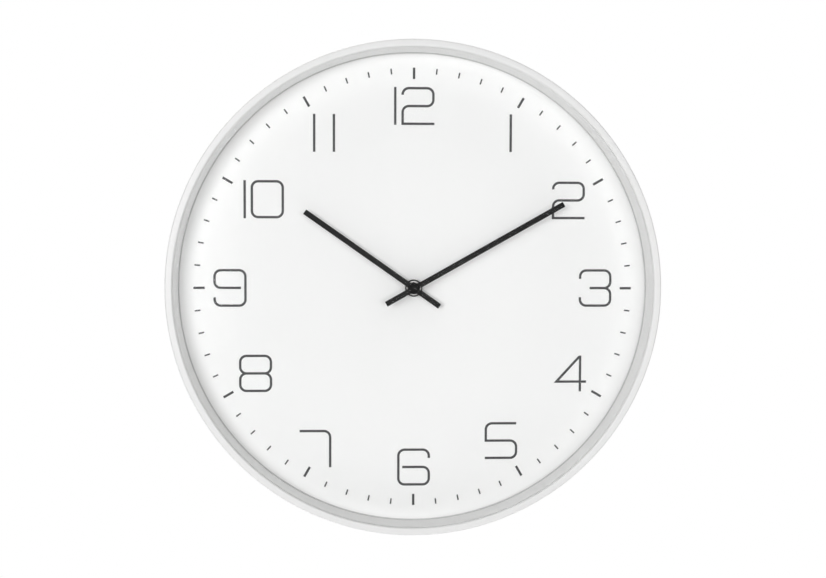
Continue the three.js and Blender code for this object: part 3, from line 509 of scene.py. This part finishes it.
class ClockColours(bpy.types.PropertyGroup):
    case: bpy.props.FloatVectorProperty(
        name="Case", description="Colour of the case's paint", subtype="COLOR",
        size=3, default=(0.83, 0.83, 0.826))
    ring: bpy.props.FloatVectorProperty(
        name="Inner ring", description="Colour of the wall between lip and dial",
        subtype="COLOR", size=3, default=(0.85, 0.85, 0.846))
    dial: bpy.props.FloatVectorProperty(
        name="Dial", description="Colour of the dial", subtype="COLOR",
        size=3, default=(0.94, 0.94, 0.937))
    ink: bpy.props.FloatVectorProperty(
        name="Ink", description="Colour of the printed marks", subtype="COLOR",
        size=3, default=(0.055, 0.055, 0.057))
    hands: bpy.props.FloatVectorProperty(
        name="Hands", description="Colour of the hands and their cap", subtype="COLOR",
        size=3, default=(0.012, 0.012, 0.012))
    back: bpy.props.FloatVectorProperty(
        name="Back", description="Colour of the back plate and rear ring", subtype="COLOR",
        size=3, default=(0.78, 0.78, 0.765))
    movement: bpy.props.FloatVectorProperty(
        name="Movement", description="Colour of the movement's housing", subtype="COLOR",
        size=3, default=(0.022, 0.022, 0.024))


def sizes():
    return bpy.context.scene.wall_clock_sizes


def colours():
    return bpy.context.scene.wall_clock_colours


def tone(name):
    return tuple(getattr(colours(), name))


# ---------- operators ----------
def corner(across, front, radius, start, end, steps):
    """Section points of a rounded corner about a centre, in degrees from outwards to frontwards."""
    return [(across + radius * cos(radians(start + (end - start) * i / steps)),
             front + radius * sin(radians(start + (end - start) * i / steps)))
            for i in range(steps + 1)]


class CLOCK_OT_case(bpy.types.Operator):
    """Spins the painted steel case, with its rounded front lip"""

    bl_idname = "wall_clock.case"
    bl_label = "Case"

    def execute(self, context):
        rim = sizes().rim_round / MM
        lip = sizes().lip_round / MM
        hem = 0.35  # rounding of the rear edge
        bend = 0.4  # inside the corner of the lip
        section = [
            *corner(CASE_RADIUS - SHEET + hem, hem, hem, 180, 270, 3),
            *corner(CASE_RADIUS - hem, hem, hem, 270, 360, 3),
            *corner(CASE_RADIUS - rim, CASE_FRONT - rim, rim, 0, 90, 10),
            *corner(LIP_INNER + lip, CASE_FRONT - lip, lip, 90, 180, 8),
            (LIP_INNER + 0.1, CASE_FRONT - SHEET),
            (CASE_RADIUS - SHEET - bend, CASE_FRONT - SHEET),
            (CASE_RADIUS - SHEET, CASE_FRONT - SHEET - bend),
        ]
        piece = turned("painted_case", section)
        paint = coat("white_powder_coat", tone("case"), 0.38, 2200, 0.012)
        finish(piece, paint, "clock_body", ["case_shell"])
        return {"FINISHED"}


class CLOCK_OT_inner_ring(bpy.types.Operator):
    """Spins the white wall between the lip and the dial"""

    bl_idname = "wall_clock.inner_ring"
    bl_label = "Inner Ring"

    def execute(self, context):
        foot = 0.8  # bevel beside the dial
        brow = 0.3  # bevel behind the lip
        section = [
            (LIP_INNER + foot, RING_REAR),
            (FIT_RADIUS, RING_REAR),
            (FIT_RADIUS, RING_FRONT),
            (LIP_INNER + brow, RING_FRONT),
            (LIP_INNER, RING_FRONT - brow),
            (LIP_INNER, RING_REAR + foot),
        ]
        piece = turned("ring_wall", section)
        paint = coat("white_ring_coat", tone("ring"), 0.6, 3000, 0.008, specular=0.2)
        finish(piece, paint, "clock_body", ["inner_ring"])
        return {"FINISHED"}


class CLOCK_OT_dial(bpy.types.Operator):
    """Cuts the dial disc, with its seam groove beside the wall, painted dark as shade, and the hole
    for the bush
    """

    bl_idname = "wall_clock.dial"
    bl_label = "Dial"

    def execute(self, context):
        groove = LIP_INNER - 0.9
        wide, deep, slope = 1.8, 0.6, 0.2
        section = [(BUSH_HOLE, DIAL_REAR), (FIT_RADIUS, DIAL_REAR), (FIT_RADIUS, DIAL_FACE),
                   (groove + wide, DIAL_FACE), (groove + wide - slope, DIAL_FACE - deep),
                   (groove + slope, DIAL_FACE - deep), (groove, DIAL_FACE),
                   (BUSH_HOLE, DIAL_FACE)]
        piece = turned("dial_disc", section)
        soften(piece, 0.12)
        # beyond the groove's inner edge the enamel is darkened to 0.72: painted shade for the shadow
        # at the foot of the wall
        paint = coat("dial_enamel", tone("dial"), 0.62, 5200, 0.004, 0.006,
                     rim=(groove + 0.25, 0.72))
        finish(piece, paint, "clock_body", ["dial"])
        return {"FINISHED"}


INK_SINK = 0.02  # how far the ink reaches into the dial
LAP = 0.01  # a numeral's second line above its first, where they cross


def digits():
    """The lines of each numeral, as corners of x, up and rounding."""
    bend = 4.6  # radius of a numeral's corners
    tall = 27.9  # height of a numeral

    def one(x, bottom, height=tall):
        return [(x, bottom, 0), (x, bottom + height, 0)]

    def two(left, right, bottom, middle, top):
        # the stub at the upper left is a little longer than its corner's rounding
        return [(left, top - bend - 0.3, 0), (left, top, bend), (right, top, bend),
                (right, middle, bend), (left, middle, bend), (left, bottom, 0),
                (right + 0.8, bottom, 0)]

    def three(left, right, bottom, middle, top, stub, bar):
        return [[(left, top - stub, 0), (left, top, bend), (right, top, bend),
                 (right, middle, bend), (bar, middle, 0)],
                [(right - bend - 3, middle, 0), (right, middle, bend), (right, bottom, bend),
                 (left, bottom, bend), (left, bottom + stub, 0)]]

    def loop(left, right, bottom, top):
        return [(left, bottom, bend), (right, bottom, bend), (right, top, bend),
                (left, top, bend), "closed"]

    return {
        12: [one(-13.9, 121.2), two(-8.4, 14.4, 122.0, 135.1, 148.3)],
        1: [one(72.15, 101.5)],
        2: [two(104.2, 127.2, 52.5, 65.65, 78.8)],
        3: three(125.0, 147.8, -13.1, 0.1, 13.3, 6.3, 132.3),
        4: [[(125.5, -50.8, 0), (125.5, -77.8, 0)],
            [(124.9, -51.5, 0), (107.6, -70.4, 0), (130.1, -70.4, 0)]],
        5: [[(77.5, -101.8, 0), (54.6, -101.8, bend), (54.6, -114.9, 0),
             (77.5, -114.9, bend), (77.5, -128.0, bend), (53.9, -128.0, 0)]],
        6: [[(11.7, -127.9, 0), (11.7, -121.5, bend), (-11.2, -121.5, bend),
             (-11.2, -147.8, bend), (11.7, -147.8, bend), (11.7, -134.6, bend),
             (-8.3, -134.6, 0)]],
        7: [[(-85.1, -107.2, 0), (-62.3, -107.2, bend), (-62.3, -134.5, 0)]],
        8: [loop(-129.1, -106.3, -63.8, -50.7),
            [(-121.9, -63.8, 0), (-129.1, -63.8, bend), (-129.1, -76.9, bend),
             (-106.3, -76.9, bend), (-106.3, -63.8, bend), (-113.5, -63.8, 0)]],
        9: [[(-128.3, 0.0, 0), (-147.8, 0.0, bend), (-147.8, 13.1, bend),
             (-125.0, 13.1, bend), (-125.0, -13.2, bend), (-147.8, -13.2, bend),
             (-147.8, -7.0, 0)]],
        10: [one(-125.3, 51.6, 28.2), loop(-120.0, -97.2, 52.5, 79.0)],
        11: [one(-73.9, 101.0), one(-59.3, 101.0)],
    }


def ink_line(corners, height):
    """One printed line: a path raised off the dial and widened to its stroke."""
    closed = corners[-1] == "closed"
    points = rounded(corners[:-1] if closed else corners, closed=closed)
    trail(points, DIAL_FACE - INK_SINK)
    push(height + INK_SINK)
    piece = settle("ink_line")
    modify(piece, "SOLIDIFY", thickness=sizes().stroke, offset=0, use_even_offset=True,
           use_quality_normals=True)
    choose(piece)
    bpy.ops.object.mode_set(mode="EDIT")
    return settle("ink_line")


def mark(name, width, length):
    """One printed mark at the top of the dial, with its outer end on the mark circle."""
    outer = sizes().mark_circle / MM
    ink = sizes().ink_height / MM
    piece = block(name, -width / 2, width / 2, outer - length, outer,
                  DIAL_FACE - INK_SINK, DIAL_FACE + ink)
    soften(piece, 0.02, 1)
    return piece


class CLOCK_OT_print(bpy.types.Operator):
    """Prints the numerals, the hour marks and the minute marks on the dial"""

    bl_idname = "wall_clock.print"
    bl_label = "Dial Print"

    def execute(self, context):
        ink = coat("dial_ink", tone("ink"), 0.55, 4000, 0.006, 0.08)
        height = sizes().ink_height / MM
        for hour, lines in digits().items():
            made = [ink_line(line, height + LAP * i) for i, line in enumerate(lines)]
            finish(merge(f"numeral_{hour}", made), ink, "clock_body")
        for name, (width, length), turns in (
            ("hour_marks", sizes().hour_mark, [30 * i for i in range(12)]),
            ("minute_marks", sizes().minute_mark, [6 * i for i in range(60) if i % 5]),
        ):
            first = mark(name + "_first", width / MM, length / MM)
            piece = merge(name, copies(first, turns))
            bpy.data.objects.remove(first)
            finish(piece, ink, "clock_body")
        return {"FINISHED"}


class CLOCK_OT_lens(bpy.types.Operator):
    """Cuts the flat glass lens, with its sharp edges taken off"""

    bl_idname = "wall_clock.lens"
    bl_label = "Lens"

    def execute(self, context):
        seamed = 0.3
        section = [(FIT_RADIUS - seamed, LENS_REAR), (FIT_RADIUS, LENS_REAR + seamed),
                   (FIT_RADIUS, LENS_FRONT - seamed), (FIT_RADIUS - seamed, LENS_FRONT)]
        piece = turned("flat_lens", section, hollow=False)
        finish(piece, clear_glass("lens_pane", (0.997, 0.998, 0.9975), 1.06), "clock_body",
               ["glass_lens"])
        return {"FINISHED"}


def baton(name, bore, tail, tip, rear, front, clockwise):
    """A hand: a straight bar with square ends and a round boss, turned to its place."""
    half = HAND_WIDTH / 2
    meet = acos(half / HAND_BOSS)
    steps = HUB_STEPS // 3

    def cheek(middle):
        angles = [middle + meet * (2 * i / steps - 1) for i in range(steps + 1)]
        return [(HAND_BOSS * cos(angle), HAND_BOSS * sin(angle)) for angle in angles]

    outline = [*cheek(0), (half, tip), (-half, tip), *cheek(pi), (-half, -tail), (half, -tail)]
    bar = plate(name, outline, rear, front)
    carve(bar, turned("bore", [(bore, rear - BITE), (bore, front + BITE)], HUB_STEPS,
                      hollow=False))
    soften(bar, 0.1, angle=CUT_CREASE)
    piece = copies(bar, [clockwise])[0]
    bpy.data.objects.remove(bar)
    piece.name = name
    piece.data.name = name
    return piece


class CLOCK_OT_hands(bpy.types.Operator):
    """Stamps the two black baton hands"""

    bl_idname = "wall_clock.hands"
    bl_label = "Hands"

    def execute(self, context):
        black = coat("black_hand_paint", tone("hands"), 0.6, 1800, 0.01, 0.3, 0.2)
        for name, node, body, bore, tail, tip, clockwise in (
            ("hour_baton", "hour_hand", "hour_hand_group", 2.6, 23.25, 98.25, 305.0),
            ("minute_baton", "minute_hand", "minute_hand_group", 1.3, 23.5, 126.75, 60.56),
        ):
            rear, front = reach(node)[2:4]
            piece = baton(name, bore, tail, tip, rear, front, clockwise)
            finish(piece, black, body, [node])
        return {"FINISHED"}


class CLOCK_OT_hub(bpy.types.Operator):
    """Turns the black cap, the bright nut and the washer on the hand axis"""

    bl_idname = "wall_clock.hub"
    bl_label = "Hand Centre"

    def execute(self, context):
        rear, front = reach("cap_nut")[2:4]
        tall = front - rear
        cap = turned("hand_cap", [
            (1.4, rear), (3.85, rear), (4.0, rear + 0.15), (4.0, rear + 0.5 * tall),
            (3.9, rear + 0.62 * tall), (3.6, rear + 0.76 * tall), (3.0, rear + 0.88 * tall),
            (2.1, rear + 0.96 * tall), (1.0, front), (0.2, front),
        ], HUB_STEPS, hollow=False)
        black = spun("black_cap_paint", shade(tone("hands"), 0.6), 0.6, 0.0, 0.15)
        finish(cap, black, "minute_hand_group", ["cap_nut"])

        rear, front = reach("ring_nut")[2:4]
        nut = turned("bright_nut", [
            (BUSH_HOLE, rear), (6.2, rear), (6.4, rear + 0.2), (6.4, front - 0.55),
            (5.9, front - 0.05), (5.8, front), (BUSH_HOLE + 0.3, front), (BUSH_HOLE, front - 0.3),
        ], HUB_STEPS)
        # the nut is painted dark beyond 5.3 mm: painted shade and dark reflection for the dark
        # outline of its outer chamfer
        nickel = spun("bright_nickel", (0.36, 0.355, 0.35), 0.34, edge=(5.3, 0.1))
        finish(nut, nickel, "clock_body", ["ring_nut"], 25)

        radius, rear, front = reach("dial_washer")[1:4]
        washer = turned("black_washer", [
            (BUSH_HOLE, rear), (radius - 0.15, rear), (radius, rear + 0.15),
            (radius, front - 0.15), (radius - 0.15, front), (BUSH_HOLE, front)], HUB_STEPS)
        rubber = moulding("washer_rubber", (0.03, 0.03, 0.03), 0.8, 4000)
        finish(washer, rubber, "clock_body", ["dial_washer"])
        return {"FINISHED"}


def keyhole_cutters(slot, entry, rear, front):
    """The keyhole as cutters: a slot that ends at the wall screw, and a round entry below it."""
    entry_up = HANG_UP - KEYHOLE_DROP
    return [
        turned("slot_end", [(slot, rear), (slot, front)], SMALL_STEPS, False, (0, HANG_UP)),
        turned("entry", [(entry, rear), (entry, front)], SMALL_STEPS, False, (0, entry_up)),
        block("slot", -slot, slot, entry_up, HANG_UP, rear, front),
    ]


class CLOCK_OT_back(bpy.types.Operator):
    """Builds the rear rim and the back plate, with its beads, window and keyhole"""

    bl_idname = "wall_clock.back"
    bl_label = "Back"

    def execute(self, context):
        moulded = moulding("back_moulding", tone("back"), 0.62, 1500, 0.03)
        rear, front = reach("rear_ring")[2:4]
        plate_radius, plate_rear, plate_front = reach("back_plate")[1:4]
        wall = FIT_RADIUS - REAR_RING_WALL
        ledge = wall - LEDGE_WIDTH
        ledge_rear = plate_front + GAP
        ledge_front = ledge_rear + LEDGE_THICKNESS
        bevel = 0.4
        rim = turned("rear_rim", [
            (wall, rear + bevel), (wall + bevel, rear), (FIT_RADIUS - bevel, rear),
            (FIT_RADIUS, rear + bevel), (FIT_RADIUS, front), (wall, front),
            (wall, ledge_front), (ledge, ledge_front), (ledge, ledge_rear), (wall, ledge_rear)])
        finish(rim, moulded, "clock_body", ["rear_ring"])

        hub = 15  # the plate starts inside its window
        wide, high, slope = 5, 0.6, 0.7  # a bead
        section = [(hub, plate_rear)]
        for inner in BEADS:
            section += [(inner, plate_rear), (inner + slope, plate_rear - high),
                        (inner + wide - slope, plate_rear - high), (inner + wide, plate_rear)]
        section += [(plate_radius - 0.3, plate_rear), (plate_radius, plate_rear + 0.3),
                    (plate_radius, plate_front), (hub, plate_front)]
        back = turned("beaded_back", section)
        left, right, _, _, bottom, top = reach("movement_housing")
        rear, front = plate_rear - 2 * BITE, plate_front + 2 * BITE
        window = block("window", left - WINDOW_CLEARANCE, right + WINDOW_CLEARANCE,
                       bottom - WINDOW_CLEARANCE, top + WINDOW_CLEARANCE, rear, front)
        soften(window, 1.2, 6)
        carve(back, window, *keyhole_cutters(KEYHOLE_SLOT + 2.5, KEYHOLE_ENTRY + 2, rear, front))
        soften(back, 0.12, angle=CUT_CREASE)
        finish(back, moulded, "clock_body", ["back_plate"])
        return {"FINISHED"}


class CLOCK_OT_fasteners(bpy.types.Operator):
    """Turns the back screws with their cross recesses, and the hanger's rivets"""

    bl_idname = "wall_clock.fasteners"
    bl_label = "Screws and Rivets"

    def execute(self, context):
        left, right, rear, front, bottom, top = reach("back_screw_1")
        place = ((left + right) / 2, (bottom + top) / 2)
        head = (right - left) / 2
        seat = front - SCREW_LENGTH
        dome = seat - rear
        screw = turned("pan_screw", [
            (0.15, rear), (0.5 * head, rear + 0.06 * dome), (0.8 * head, rear + 0.28 * dome),
            (0.95 * head, rear + 0.6 * dome), (head, seat - 0.15), (head - 0.15, seat),
            (SHANK, seat), (SHANK, front - 1.2), (0.2, front)], SMALL_STEPS, False, place)
        x, up = place
        long, thin = 1.7, 0.33  # half the length and half the width of the recess
        rear, deep = rear - BITE, rear + 0.7 * dome
        carve(screw,
              block("cross", x - long, x + long, up - thin, up + thin, rear, deep),
              block("cross", x - thin, x + thin, up - long, up + long, rear, deep))
        zinc = plated("screw_zinc", (0.62, 0.63, 0.62), 0.34, (1, 6, 1))
        made = copies(screw, [360 / SCREWS * i for i in range(SCREWS)])
        bpy.data.objects.remove(screw)
        for i, piece in enumerate(made, 1):
            piece.name = f"pan_screw_{i}"
            finish(piece, zinc, "clock_body", [f"back_screw_{i}"])

        steel = plated("rivet_steel", (0.55, 0.55, 0.56), 0.3, (4, 1, 4))
        for i in (1, 2):
            left, right, rear, front, bottom, top = reach(f"hanger_rivet_{i}")
            radius = (right - left) / 2
            head = 0.7
            rivet = turned(f"domed_rivet_{i}", [
                (0.2, rear), (0.55 * radius, rear + 0.1), (0.85 * radius, rear + 0.35),
                (radius, rear + head), (SHANK, rear + head), (SHANK, front - head),
                (0.8 * radius, front - head), (0.7 * radius, front), (0.2, front)],
                SMALL_STEPS, False, ((left + right) / 2, (bottom + top) / 2))
            finish(rivet, steel, "clock_body", [f"hanger_rivet_{i}"])
        return {"FINISHED"}


class CLOCK_OT_hanger(bpy.types.Operator):
    """Stamps the hanger plate with its keyhole"""

    bl_idname = "wall_clock.hanger"
    bl_label = "Hanger"

    def execute(self, context):
        left, right, rear, front, bottom, top = reach("hanger_plate")
        bend = 4
        outline = rounded([(left, bottom, bend), (right, bottom, bend), (right, top, bend),
                           (left, top, bend)], closed=True)
        hanger = plate("keyhole_plate", outline[:-1], rear, front)
        carve(hanger, *keyhole_cutters(KEYHOLE_SLOT, KEYHOLE_ENTRY, rear - BITE, front + BITE))
        soften(hanger, 0.15, angle=CUT_CREASE)
        zinc = plated("hanger_zinc", (0.58, 0.6, 0.6), 0.4, (1, 1, 8))
        finish(hanger, zinc, "clock_body", ["hanger_plate"])
        return {"FINISHED"}


class CLOCK_OT_cell(bpy.types.Operator):
    """Turns the cell, with its cap, its jacket and its flat end"""

    bl_idname = "wall_clock.cell"
    bl_label = "Battery Cell"

    def execute(self, context):
        left, right, rear, front, bottom, top = reach("battery_cell")
        radius = (top - bottom) / 2
        length = right - left
        cell = turned("jacketed_cell", [
            (0.2, 0), (2.5, 0), (2.75, 0.25), (2.75, 1.0), (5.9, 1.0), (6.1, 1.3),
            (radius - 0.5, 1.3), (radius, 1.8), (radius, length - 0.9),
            (radius - 0.5, length - 0.4), (5.6, length - 0.4), (5.2, length), (0.2, length)],
            SMALL_STEPS + 16, hollow=False)
        middle = at(left, (rear + front) / 2, (bottom + top) / 2)
        lie = Matrix.Rotation(pi / 2, 4, "Z")
        cell.matrix_world = Matrix.Translation(middle) @ lie @ Matrix.Translation(-at(0, 0))
        choose(cell)
        bpy.ops.object.transform_apply(location=True, rotation=True, scale=True)

        made = Finish("cell_jacket", (0.05, 0.055, 0.06), 0.34)
        band, nub, rim = 14.3 * MM, 1.8 * MM, (length - 0.9) * MM
        along, _, _ = made.axes(made.place(centre=at(left, 0)))
        copper = 1 - along.above(band, 0.2 * MM) - made.noise(220, 3) * 0.1
        body = made.mix(copper, (0.03, 0.032, 0.036), (0.42, 0.2, 0.08))
        ends = 1 - along.above(nub, 0.3 * MM) + along.above(rim, 0.3 * MM)
        made.set(Base_Color=made.mix(ends, body, (0.6, 0.6, 0.6)), Metallic=ends,
                 Roughness=made.noise(900, 2) * 0.2 + 0.24)
        made.relief(made.noise(1500, 2), 0.004)
        finish(cell, made.material, "battery", ["battery_cell"])
        return {"FINISHED"}


# the width of the bevel on each kept piece that has one
SOFTENED = {
    "movement_housing": 0.2, "movement_cover": 0.2, "setting_knob": 0.12,
    "positive_contact": 0.06, "negative_contact": 0.06, "circuit_board": 0.08,
    "stator_plate": 0.08, "coil_core": 0.06, "coil_bobbin": 0.1, "quartz_crystal": 0.15,
}


class CLOCK_OT_works(bpy.types.Operator):
    """Gives the CAD pieces that are kept their finishes"""

    bl_idname = "wall_clock.works"
    bl_label = "Works"

    def execute(self, context):
        zinc = plated("bright_zinc", (0.62, 0.63, 0.62), 0.38, (1, 1, 6))
        steel = plated("soft_iron", (0.42, 0.43, 0.44), 0.35, (1, 1, 8))
        kept = {
            zinc: ["positive_contact", "negative_contact"],
            moulding("black_moulding", tone("movement"), 0.5): [
                "movement_housing", "movement_cover", "middle_plate"],
            moulding("natural_acetal", (0.75, 0.73, 0.66), 0.42, 3600, 0.006, 0.03): [
                "rotor_pinion", "intermediate_wheel", "seconds_wheel", "third_wheel",
                "centre_wheel", "minute_works_wheel", "hour_wheel", "setting_knob"],
            moulding("natural_nylon", (0.72, 0.69, 0.6), 0.5, 3600, 0.006): ["coil_bobbin"],
            steel: ["stator_plate", "coil_core"],
            plated("crystal_can", (0.6, 0.6, 0.62), 0.25, (1, 1, 5)): ["quartz_crystal"],
            moulding("chip_resin", (0.01, 0.01, 0.011), 0.25, 900, 0.01): ["timing_chip"],
            moulding("board_resin", (0.02, 0.12, 0.05), 0.35, 700, 0.02): ["circuit_board"],
            moulding("ferrite", (0.06, 0.06, 0.065), 0.6, 1800, 0.02): ["rotor_magnet"],
            plated("turned_brass", (0.66, 0.48, 0.2), 0.28, (1, 8, 1)): ["minute_arbor"],
            plated("copper_wire", (0.6, 0.24, 0.1), 0.35, (1, 1, 30), 2600): ["coil_winding"],
        }
        for material, names in kept.items():
            for name in names:
                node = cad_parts[name]
                node.data.materials.clear()
                node.data.materials.append(material)
                if name in SOFTENED:
                    node.modifiers.new("weld", "WELD").merge_threshold = 0.002 * MM
                    bevel = node.modifiers.new("soft_edges", "BEVEL")
                    bevel.width = SOFTENED[name] * MM
                    bevel.segments = 2
                    bevel.limit_method = "ANGLE"
                    bevel.angle_limit = radians(CUT_CREASE)
        return {"FINISHED"}


LAMP_DISTANCE = 2.4


def direction(azimuth, elevation):
    """The way from the clock to a place: azimuth to the left of straight ahead, in degrees."""
    azimuth, elevation = radians(azimuth), radians(elevation)
    return Vector((-sin(azimuth) * cos(elevation), -cos(azimuth) * cos(elevation),
                   sin(elevation)))


def lamp(name, azimuth, elevation, width, height, power):
    """A soft rectangular lamp that faces the middle of the dial."""
    data = bpy.data.lights.new(name, "AREA")
    data.shape = "RECTANGLE"
    data.size = width
    data.size_y = height
    data.energy = power
    light = bpy.data.objects.new(name, data)
    bpy.context.scene.collection.objects.link(light)
    way = direction(azimuth, elevation)
    light.location = at(0, DIAL_FACE) + way * LAMP_DISTANCE
    light.rotation_euler = way.to_track_quat("Z", "Y").to_euler()


# name, azimuth, elevation, width and height in metres, and watts
LAMPS = (
    ("lamp_left", 21, 4, 0.9, 0.9, 24.2),
    ("lamp_right", -16, 0, 1.35, 0.9, 15.8),
    ("lamp_above", 0, 35, 1.35, 0.6, 4.2),
    ("lamp_behind", 150, 35, 1.3, 1.3, 13.0),
)
FRONT_FILL = 0.04  # from before the dial
REAR_FILL = 0.62  # from behind
ZENITH_FILL = 0.8  # added overhead
LENS_LENGTH = 46.16
CAMERA_PLACE = (1.9, 2.2)  # azimuth and elevation
CAMERA_ROLL = 0.12
CAMERA_DISTANCE = 0.791
AIM = (-0.44, -0.73)  # on the dial, from the hand axis
FLOOR_DROP = 1.3
FLOOR_RADIUS = 3.2


class CLOCK_OT_stage(bpy.types.Operator):
    """Sets the camera, the soft lamps, the white surround and the pale floor"""

    bl_idname = "wall_clock.stage"
    bl_label = "Stage"

    def execute(self, context):
        scene = context.scene
        scene.view_settings.view_transform = "Standard"

        data = bpy.data.cameras.new("camera")
        data.lens = LENS_LENGTH
        data.sensor_width = 36
        camera = bpy.data.objects.new("camera", data)
        scene.collection.objects.link(camera)
        back = direction(*CAMERA_PLACE)
        right = Vector((0, 0, 1)).cross(back).normalized()
        above = back.cross(right)
        roll = radians(CAMERA_ROLL)
        level = right * cos(roll) + above * sin(roll)
        turn = Matrix((level, back.cross(level), back)).transposed()
        place = at(AIM[0], DIAL_FACE, AIM[1]) + back * CAMERA_DISTANCE
        camera.matrix_world = Matrix.Translation(place) @ turn.to_4x4()
        scene.camera = camera

        for values in LAMPS:
            lamp(*values)

        world = bpy.data.worlds.new("white_studio")
        scene.world = world
        world.use_nodes = True
        tree = world.node_tree
        fill = tree.nodes["Background"]
        fill.inputs["Color"].default_value = (1, 1, 1, 1)
        axes = tree.nodes.new("ShaderNodeSeparateXYZ")
        way = tree.nodes.new("ShaderNodeTexCoord")
        tree.links.new(way.outputs["Generated"], axes.inputs[0])
        behind = Wire(tree, axes.outputs["Y"]).above(0.05, 0.5)
        overhead = Wire(tree, axes.outputs["Z"]).above(0.85, 0.1)
        feed(tree, fill.inputs["Strength"], behind * (REAR_FILL - FRONT_FILL) + FRONT_FILL
             + overhead * ZENITH_FILL)
        backdrop = tree.nodes.new("ShaderNodeBackground")
        backdrop.inputs["Color"].default_value = (1, 1, 1, 1)
        path = tree.nodes.new("ShaderNodeLightPath")
        mix = tree.nodes.new("ShaderNodeMixShader")
        tree.links.new(path.outputs["Is Camera Ray"], mix.inputs[0])
        tree.links.new(fill.outputs[0], mix.inputs[1])
        tree.links.new(backdrop.outputs[0], mix.inputs[2])
        tree.links.new(mix.outputs[0], tree.nodes["World Output"].inputs["Surface"])

        bpy.ops.object.select_all(action="DESELECT")
        bpy.ops.mesh.primitive_circle_add(
            vertices=96, radius=FLOOR_RADIUS, fill_type="NGON",
            location=(0, 0, AXIS_Z - FLOOR_DROP),
            enter_editmode=True)
        bpy.ops.mesh.inset(thickness=0.5)
        floor = settle("floor")
        floor.data.materials.append(coat("pale_floor", (0.85, 0.85, 0.85), 0.8, 40, 0.1, 0.01))
        return {"FINISHED"}


class CLOCK_PT_panel(bpy.types.Panel):
    """Lists what builds the clock"""

    bl_idname = "CLOCK_PT_panel"
    bl_label = "Wall Clock"
    bl_space_type = "VIEW_3D"
    bl_region_type = "UI"
    bl_category = "Wall Clock"

    def draw(self, context):
        for operator in OPERATORS:
            self.layout.operator(operator.bl_idname)
        for group in (context.scene.wall_clock_sizes, context.scene.wall_clock_colours):
            for name in group.bl_rna.properties.keys():
                if name not in ("rna_type", "name"):
                    self.layout.prop(group, name)


OPERATORS = (
    CLOCK_OT_stage, CLOCK_OT_case, CLOCK_OT_inner_ring, CLOCK_OT_dial, CLOCK_OT_print,
    CLOCK_OT_hands, CLOCK_OT_hub, CLOCK_OT_back, CLOCK_OT_hanger, CLOCK_OT_fasteners,
    CLOCK_OT_cell, CLOCK_OT_works, CLOCK_OT_lens,
)
CLASSES = (ClockSizes, ClockColours, *OPERATORS, CLOCK_PT_panel)


def register():
    for cls in CLASSES:
        bpy.utils.register_class(cls)
    bpy.types.Scene.wall_clock_sizes = bpy.props.PointerProperty(type=ClockSizes)
    bpy.types.Scene.wall_clock_colours = bpy.props.PointerProperty(type=ClockColours)


def unregister():
    del bpy.types.Scene.wall_clock_colours
    del bpy.types.Scene.wall_clock_sizes
    for cls in reversed(CLASSES):
        bpy.utils.unregister_class(cls)


def main():
    register()
    for operator in OPERATORS:
        group, name = operator.bl_idname.split(".")
        getattr(getattr(bpy.ops, group), name)()


if __name__ == "__main__":
    main()
